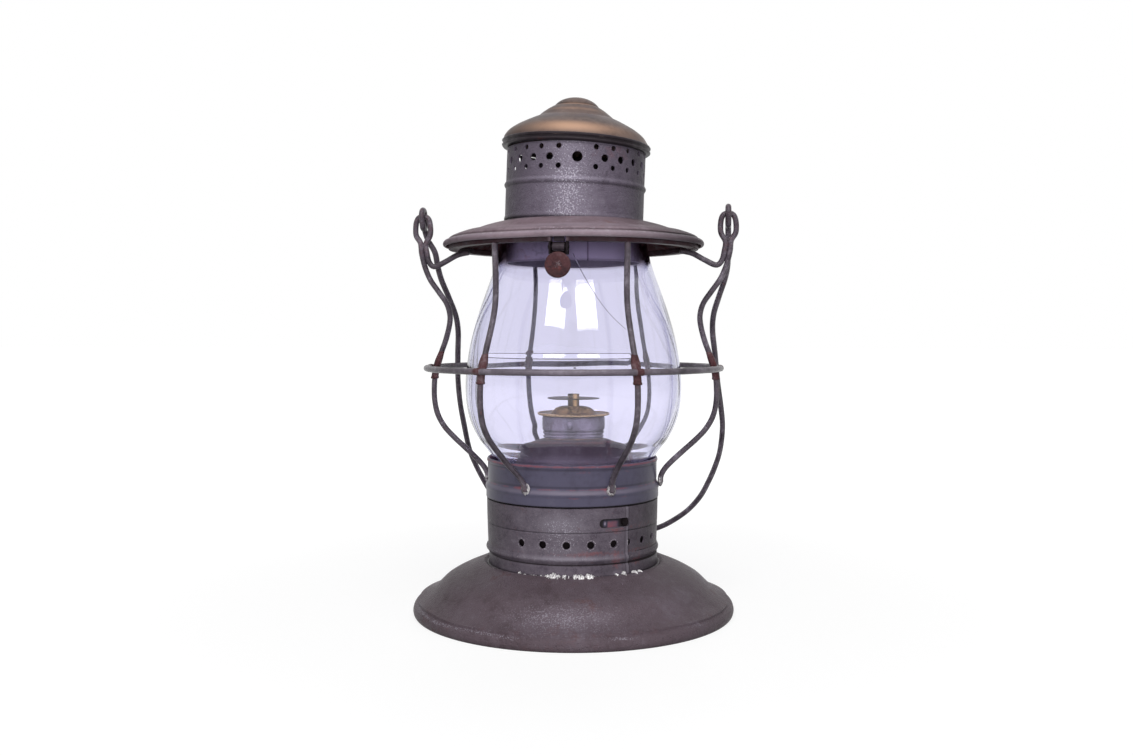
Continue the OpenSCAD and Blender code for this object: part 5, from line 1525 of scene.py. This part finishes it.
@dataclass
class Lid:
    """Brim, chimney with its vents, crimped rim, brass cap, draft tube, catch and hinge."""

    shop: Workshop
    brim_z: float = 197.6
    pipe: float = 35.0
    pipe_top: float = 233.0
    draft_r: float = 32.2
    draft_z: float = 175.3
    pipe_lean: float = 2.1
    cap_lean: float = 3.4

    def brim(self) -> None:
        """The brim: a sloping disc with a pressed groove and a rolled edge, rusty underneath."""
        over = smooth_curve([[36.0, 196.65], [38.5, 196.35], [42.0, 195.5], [46.0, 194.35], [50.5, 192.75],
                             [52.6, 191.95], [53.3, 191.45], [53.9, 191.45], [55.2, 191.7], [56.6, 191.4],
                             [59.5, 190.4], [61.8, 189.45], [63.0, 188.7], [63.5, 188.0], [64.0, 187.75],
                             [65.1, 187.3], [65.9, 186.55], [66.2, 185.6], [66.0, 184.8], [65.4, 184.3],
                             [64.8, 184.45]], 6)
        under = smooth_curve([[64.6, 185.2], [64.9, 185.9], [64.3, 186.5], [62.5, 187.7], [59.0, 189.3],
                              [56.0, 190.5], [53.0, 190.75], [50.0, 191.9], [45.8, 193.45], [40.0, 194.9],
                              [35.1, 195.6]], 5)
        sides = 256
        s = lathed(np.concatenate([over, under, [[35.05, 196.6]]]), sides)
        az, r, z = s.polar()
        a = np.radians(az)
        lift = 0.14 * np.sin(2 * a + 1.1) + 0.09 * np.sin(5 * a) + 0.05 * np.sin(9 * a + 2)
        s.points[:, 2] += lift * eased(r, 45, 62)
        rows = np.repeat(np.arange(len(over) + len(under) + 1), sides)
        below = rows >= len(over) - 4
        # Painted shade in the grooves, on the sides and on the right; painted glints and sheen in front and
        # a painted highlight on the rolled edge. The red-brown underside is a real stain.
        grooves = peaks(r, (0.45, 53.4, 0.6), (0.6, 63.6, 0.55), (0.2, 61.0, 0.7))
        grooves = grooves * eased(z, 186.5, 187.2) + 0.3 * side_shade(az) + 0.45 * bump(az, 60, 44)
        s.marks(stain=np.where(below, 1.0, 0.2 * bump(r, 50, 10)),
                sparkle=~below * glow(az, 1, 24) * 0.75 * (bump(r, 55, 1.6) + bump(r, 64, 2.5)),
                polish=~below * (0.35 * glow(az, 2, 30) * bump(r, 60, 5) + 0.5 * bump(r, 65.5, 1.1)),
                wear=~below * peaks(r, (0.42, 54.6, 0.9), (0.5, 65.2, 0.9), (0.35, 62.6, 0.8)),
                soot=~below * grooves)
        self.shop.piece("brim", s, "lid", Finish.BRIM_STEEL, "lid_brim")

    def chimney(self) -> None:
        """The chimney: a sheet pipe with a bead, a flared foot and three rows of vents."""
        z = np.concatenate([np.linspace(197.2, 200.8, 7), np.linspace(201.4, 211.8, 10),
                            np.linspace(212.2, 216.8, 22), np.linspace(217.4, 232.6, 16), [232.95]])
        out = self.pipe + 0.25 + 0.82 * bump(z, 214.5, 1.9) + 0.5 * faded(z, 196.8, 199.4)
        back = np.array([[34.4, 232.95], [34.4, 225], [34.4, 214], [34.4, 204], [34.4, 196.05],
                         [34.95, 196.05], [34.97, 196.7], [35.5, 196.7]])
        s = lathed(np.concatenate([np.column_stack([out, z]), back]), 320)
        az, r, zz = s.polar()
        outer = r > 34.7
        lap = eased(az, 158, 170) * faded(az, 176.5, 177.5)
        s = s.pushed(outer * (0.3 * lap + 0.08 * ripple(np.radians(az), zz, 55)) * bump(zz, 216, 17.5))
        s.points[:, 0] += 0.25
        front = glow(az, 1, 18)
        # Painted shade on the sides, under the bead and at the foot; painted glints and sheen in front and
        # along the bead; inside, soot and painted shade. The rust is real.
        dark = 0.5 * side_shade(az) + 0.3 * bump(zz, 213.2, 0.8) + 0.5 * faded(zz, 197.2, 198.2)
        rust = 0.25 * bump(zz, 230, 6) + 0.5 * bump(az, 38, 26) * bump(zz, 226, 9)
        s.marks(sparkle=outer * front * (0.85 - 0.25 * eased(zz, 218, 222)),
                polish=outer * (0.38 * front + 0.3 * glow(az, 1, 40) * bump(zz, 215.4, 1.2)),
                soot=np.where(outer, dark, 0.93),
                stain=np.where(outer, rust, 0.6))
        middle, k = 7.6, 360 / 23

        def place(i: float) -> float:
            """Azimuth of the i-th step, the steps a little closer together in front."""
            return middle + k * i - 3.0 * math.sin(math.radians(k * i))

        cutters = [round_cutter(place(i), 225.5, 3.7, self.pipe) for i in np.arange(1.5, 22)]
        cutters += [round_cutter(place(i), h, 2.6, self.pipe) for i in range(1, 23) for h in (221.1, 230.6)]
        cutters.append(round_cutter(middle, 225.5, 5.0, self.pipe))
        lean = self.pipe_lean
        cutters = [c.leant(lean, self.brim_z) for c in cutters]
        s = s.leant(lean, self.brim_z)
        self.shop.piece("smoke_pipe", s, "lid", Finish.CHIMNEY_STEEL, "chimney", 30, cutters)

    def rim(self) -> None:
        """The dark crimp that holds the cap: two rolled lips with a groove between them."""
        prof = smooth_curve([[34.5, 233.02], [36.4, 233.02], [37.2, 233.2], [37.75, 233.8], [37.6, 234.5],
                             [37.15, 234.9], [37.25, 235.4], [37.75, 235.9], [37.7, 236.6], [37.2, 237.0],
                             [36.88, 236.6], [36.84, 235.5], [34.5, 235.36]], 4)
        s = lathed(prof, 224)
        a = np.radians(s.azimuth())
        teeth = 0.08 * np.sin(9 * a) + 0.06 * np.sin(23 * a + 1) + 0.05 * np.sin(41 * a)
        s = s.pushed(teeth * eased(s.radius(), 36.95, 37.5))
        _, r, z = s.polar()
        s.marks(wear=0.15 * bump(r, 37.8, 0.4), soot=0.62 + 0.3 * bump(z, 234.9, 0.6))
        self.shop.piece("cap_crimp", self.seated(s), "lid", Finish.DARK_STEEL, "cap_rim")

    def seated(self, s: Surface) -> Surface:
        """A piece of the cap leant with the chimney, and then a little more on its own seat."""
        s.points[:, 0] -= 0.5 * eased(s.points[:, 2], 236, 239) + 0.4 * eased(s.points[:, 2], 248, 252)
        return s.leant(self.cap_lean - self.pipe_lean, self.pipe_top).leant(self.pipe_lean, self.brim_z)

    def cap(self) -> None:
        """The brass cap: a crown over a collar of steps and a wide dome, as one smooth outline."""
        out = smooth_curve([[0, 261.0], [2.4, 260.9], [4.8, 260.5], [7.2, 259.6], [9.2, 258.4],
                            [10.6, 257.1], [11.3, 256.2], [12.1, 255.75], [13.4, 254.95], [15.0, 253.9],
                            [16.8, 252.5], [18.6, 251.1], [20.0, 250.1], [21.6, 249.2], [23.6, 248.4],
                            [25.6, 247.35], [28.0, 246.0], [30.4, 244.4], [32.6, 242.5], [34.4, 240.5],
                            [35.6, 238.6], [36.3, 237.0], [36.7, 235.9], [36.8, 235.45]], 6)
        under = offset(out[::-1], 0.8)[3:-6]
        under = under[under[:, 0] > 0.3]
        prof = np.concatenate([out, [[36.0, 235.45]], under, [[0, 260.1]]])
        foot, squash = 235.45, 0.945
        prof[:, 1] = foot + (prof[:, 1] - foot) * squash
        prof[:, 0] *= 1 - 0.055 * eased(prof[:, 1], 240.5, 248.5) * (1 - 0.4 * eased(prof[:, 1], 249, 252))
        s = domed(prof, 224)
        az, r, z = s.polar()
        a = np.radians(az)
        dents = 0.1 * ripple(a, z * 2, 91) + 0.22 * glow(az, 30, 14) * glow(z, 249, 3)
        s = s.pushed(-dents * eased(r, 8, 14) * faded(r, 33, 36))
        band = bump(z, 240.2, 4.2) * (0.1 + 0.9 * glow(az, 2, 30))
        lines = peaks(z, (0.5, 255.6, 0.8), (0.45, 236.4, 0.9), (0.25, 252.2, 1.2))
        # Painted highlights: a broad band in front and lines on the ridges. Painted shade in the step round
        # the crown, at the bottom edge, on the sides and on the left.
        s.marks(polish=np.maximum(0.85 * band, lines * (0.3 + 0.7 * glow(az, -5, 50))),
                wear=0.15 * bump(r, 10.6, 0.7),
                stain=peaks(z, (0.75, 247.6, 3.2), (0.4, 253.6, 1.3)) + 0.3 * eased(z, 256, 259),
                soot=0.55 * bump(r, 11.2, 0.5) + 0.3 * bump(z, 246.2, 1.8)
                + 0.5 * faded(z, 235.4, 236.0) + 0.3 * side_shade(az) + 0.25 * bump(az, -42, 40))
        self.shop.piece("cap", self.seated(s), "lid", Finish.CAP_BRASS, "chimney_cap")

    def draft(self) -> None:
        """The draft tube in the globe's mouth: a thin pipe with a rolled foot and an upright seam."""
        r, z = self.draft_r + 1.9, self.draft_z
        out = smooth_curve([[r - 0.6, z + 1.2], [r - 0.55, z + 0.35], [r - 0.2, z], [r + 0.05, z + 0.4],
                            [r, z + 1.2]], 3)
        wall = np.array([[r - 0.05, z + 2.2], [r - 0.05, z + 8], [r - 0.05, z + 14], [r, 194.6],
                         [34.4, 195.3], [34.4, 195.9], [r - 0.6, 195.2]])
        s = lathed(np.concatenate([out, wall]), 192, extra=(16.6, 17.0, 17.4, 17.8))
        az, zz = s.azimuth(), s.points[:, 2]
        seam = 0.3 * eased(az, 8, 16.9) * faded(az, 17.0, 17.4)
        s = s.pushed((s.radius() > r - 0.4) * seam * (zz < 190))
        outer = s.radius() > r - 0.4
        # A lighter worn tone over the outside, brighter at the front, painted sheen growing towards the
        # right, a stain on the left and a dark seam.
        s.marks(wear=outer * (0.75 + 0.25 * bump(az, 12, 40)),
                stain=0.8 * bump(az, -38, 34),
                soot=np.where(outer, 0.7 * bump(az, 17.6, 0.8) + 0.35 * bump(zz, z + 0.5, 0.8), 0.12),
                polish=0.55 + 0.35 * eased(az, -20, 5))
        self.shop.piece("draft_pipe", s, "lid", Finish.FRAME_STEEL, "draft_tube", 30)

    def build(self) -> None:
        """Builds every piece of the lid and dresses its hidden ones."""
        self.brim()
        self.chimney()
        self.rim()
        self.cap()
        self.draft()
        self.shop.dress(Finish.DARK_STEEL, "lid_catch", "hinge_leaf_lid")


@dataclass
class Bail:
    """The carrying bail: one wire, with an eye bent at each end round the side wires' eyes."""

    shop: Workshop
    ear_x: float = 78.3
    ear_z: float = 201.0
    wide: float = 72.2
    reach: float = 197.8
    grip_x: float = 4.4
    lean: float = 25.438
    radius: float = 1.5

    def sideways(self, s: Array) -> Array:
        """How far the hand-bent bail stands to the right at a reach from its axis."""
        t = s / self.reach
        return 2.4 * eased(t, 0.04, 0.12) + 2.0 * eased(t, 0.48, 0.65)

    def half(self) -> Array:
        """Half width and reach of one arm from under its eye to the grip."""
        low = shares([self.wide, 0], [self.ear_x, self.reach],
                     [[0.918, 0.066], [0.656, 0.101], [0.59, 0.142], [0.377, 0.182]])
        high = shares([self.wide, 0], [0, self.reach],
                      [[0.01, 0.233], [0.046, 0.283], [0.053, 0.334], [0.033, 0.404], [0.015, 0.48],
                       [0.001, 0.556], [0.0, 0.627], [0.019, 0.703], [0.057, 0.758], [0.108, 0.809],
                       [0.169, 0.857], [0.266, 0.905], [0.388, 0.943], [0.501, 0.968], [0.654, 0.987],
                       [0.834, 0.997]])
        return np.vstack([[self.ear_x, 7.6], low, high])

    def build(self) -> None:
        """Builds the bail in its own plane and leans it back.

        The rod runs from under one eye round the grip to the other. Each eye is a long loop of its
        own, upright at the side wire's distance from the lantern's middle.
        """
        arm = self.half()
        shift, level = self.sideways(arm[:, 1]), np.zeros(len(arm))
        right, left = (np.column_stack([k * arm[:, 0] + shift, level, -arm[:, 1]]) for k in (1, -1))
        grip = np.array([[self.grip_x, 0, -self.reach]])
        q = np.radians(np.linspace(-90, 270, 33))
        loop_r, leg = 3.2, 3.6
        drop = np.where(np.sin(q) > 0, 0.0, -leg)
        flat_loop = np.column_stack([loop_r * np.cos(q), loop_r * np.sin(q) + drop])
        eyes = []
        for sign in (-1, 1):
            pts = np.column_stack([np.full(len(q) - 1, sign * self.ear_x), flat_loop[:-1]])
            loop = evened(smooth_curve(pts, 3, True), 96, True)
            eyes.append(tube(loop, self.radius * 0.985, 18, closed=True, up=(1.0, 0.0, 0.0)))
        path = evened(smooth_curve(np.concatenate([right, grip, left[::-1]]), 10), 420)
        run = np.linspace(0, 1, len(path))
        r = self.radius * (1 + 0.02 * np.sin(61 * run) + 0.015 * np.sin(143 * run + 1))
        rod = tube(path, r, 18, up=(0.0, 1.0, 0.0))
        s = joined([rod, *eyes])
        a = math.radians(self.lean)
        p = s.points
        y, z = p[:, 1] * math.cos(a) - p[:, 2] * math.sin(a), p[:, 1] * math.sin(a) + p[:, 2] * math.cos(a)
        s = Surface(np.column_stack([p[:, 0], y, z + self.ear_z]), s.faces, s.masks)
        grip_wear = bump(p[:, 0], self.grip_x, 60) * (p[:, 2] < -150)
        s.marks(wear=0.35 * grip_wear, stain=0.5 * eased(-p[:, 2], 12, -2))
        self.shop.piece("carry_bail", s, "bail", Finish.GUARD_WIRE, "bail")


@dataclass
class Studio:
    """Camera, lamps, pale floor and white surroundings."""

    distance: float = 0.576
    height: float = 0.141
    azimuth: float = 6.3
    focal_px: float = 1129.0
    image_width: float = 1133.0

    def camera(self) -> None:
        """A level camera at the photograph's angle, with its small shift."""
        cam = bpy.data.cameras.new("camera")
        cam.sensor_width = 36.0
        cam.lens = 36.0 * self.focal_px / self.image_width
        cam.shift_x = -7.0 / self.image_width
        cam.shift_y = -45.7 / self.image_width
        cam.clip_start, cam.clip_end = 0.01, 50.0
        obj = bpy.data.objects.new("camera", cam)
        bpy.context.scene.collection.objects.link(obj)
        a = math.radians(self.azimuth)
        obj.location = (self.distance * math.sin(a), -self.distance * math.cos(a), self.height)
        look = Vector((-math.sin(a), math.cos(a), 0.0))
        obj.rotation_mode = "QUATERNION"
        obj.rotation_quaternion = look.to_track_quat("-Z", "Y")
        bpy.context.scene.camera = obj

    def lamp(self, name: str, side: float, rise: float, away: float, size: tuple[float, float], watts: float,
             gloss: bool = True) -> None:
        """A soft panel lamp that faces the globe, placed by its angles from the camera's side."""
        light = bpy.data.lights.new(name, "AREA")
        light.shape, light.size, light.size_y, light.energy = "RECTANGLE", size[0], size[1], watts
        obj = bpy.data.objects.new(name, light)
        bpy.context.scene.collection.objects.link(obj)
        a, e = math.radians(self.azimuth + side), math.radians(rise)
        target = Vector((0, 0, 0.13))
        back = Vector((math.sin(a) * math.cos(e), -math.cos(a) * math.cos(e), math.sin(e)))
        obj.location = target + back * away
        obj.rotation_mode = "QUATERNION"
        obj.rotation_quaternion = (-back).to_track_quat("-Z", "Y")
        obj.visible_glossy = gloss
        obj.visible_camera = False
        obj.visible_transmission = gloss

    def surroundings(self) -> None:
        """White for the camera and for what glass and metal show, a plain soft grey as light."""
        world = bpy.data.worlds.new("studio")
        bpy.context.scene.world = world
        world.use_nodes = True
        sk = Sketch(world.node_tree)
        seen = sk.seen()
        soft = sk.node("Background", Color=(0.95, 0.96, 1.0), Strength=0.07)
        white = sk.node("Background", Color=(1.0, 1.0, 1.0), Strength=1.0)
        mix = sk.node("MixShader", i0=seen, i1=soft.outputs[0], i2=white.outputs[0])
        sk.node("OutputWorld", Surface=mix.outputs[0])

    def floor(self) -> None:
        """A wide pale floor. The camera sees it near white, with the lantern's shadow on it."""
        mesh = bpy.data.meshes.new("floor")
        mesh.from_pydata([(-9, -9, 0), (9, -9, 0), (9, 9, 0), (-9, 9, 0)], [], [(0, 1, 2, 3)])
        mat, sk, bsdf = start_material("floor")
        seen = sk.seen()
        away = sk.node("VectorMath", operation="LENGTH", i0=sk.where()).outputs["Value"]
        glow_by = sk.times_plus(sk.step(away, 0.1, 0.6), 0.18, 0.84)
        sk.fill(bsdf, Base_Color=(0.2, 0.2, 0.2), Roughness=0.9, Specular_IOR_Level=0.0,
                Emission_Color=(1.0, 1.0, 1.0), Emission_Strength=sk.times(seen, glow_by))
        mesh.materials.append(mat)
        obj = bpy.data.objects.new("floor", mesh)
        bpy.context.scene.collection.objects.link(obj)

    def build(self) -> None:
        """Sets the whole studio up."""
        self.camera()
        self.lamp("panel_left", -23, 36, 1.6, (0.60, 0.36), 6.0)
        self.lamp("panel_right", 17, 36, 1.6, (0.60, 0.36), 6.0)
        self.lamp("front_fill", 0, 3, 1.8, (0.5, 0.5), 16.5, gloss=False)
        self.lamp("overhead", 10, 70, 1.4, (0.7, 0.7), 5.0)
        self.lamp("rear_fill", 176, 24, 2.0, (1.0, 1.0), 12.0, gloss=False)
        self.surroundings()
        self.floor()
        bpy.context.scene.view_settings.view_transform = "Standard"


def main() -> None:
    """Builds the lantern sub-assembly by sub-assembly."""
    logging.basicConfig(level=logging.INFO, format="%(name)s: %(message)s")
    shop = Workshop()
    Studio().build()
    for part in (Base(shop), Fount(shop), Burner(shop), Cage(shop), Globe(shop), Latch(shop), Lid(shop),
                 Bail(shop)):
        LOG.info("building %s", type(part).__name__)
        part.build()


if __name__ == "__main__":
    main()
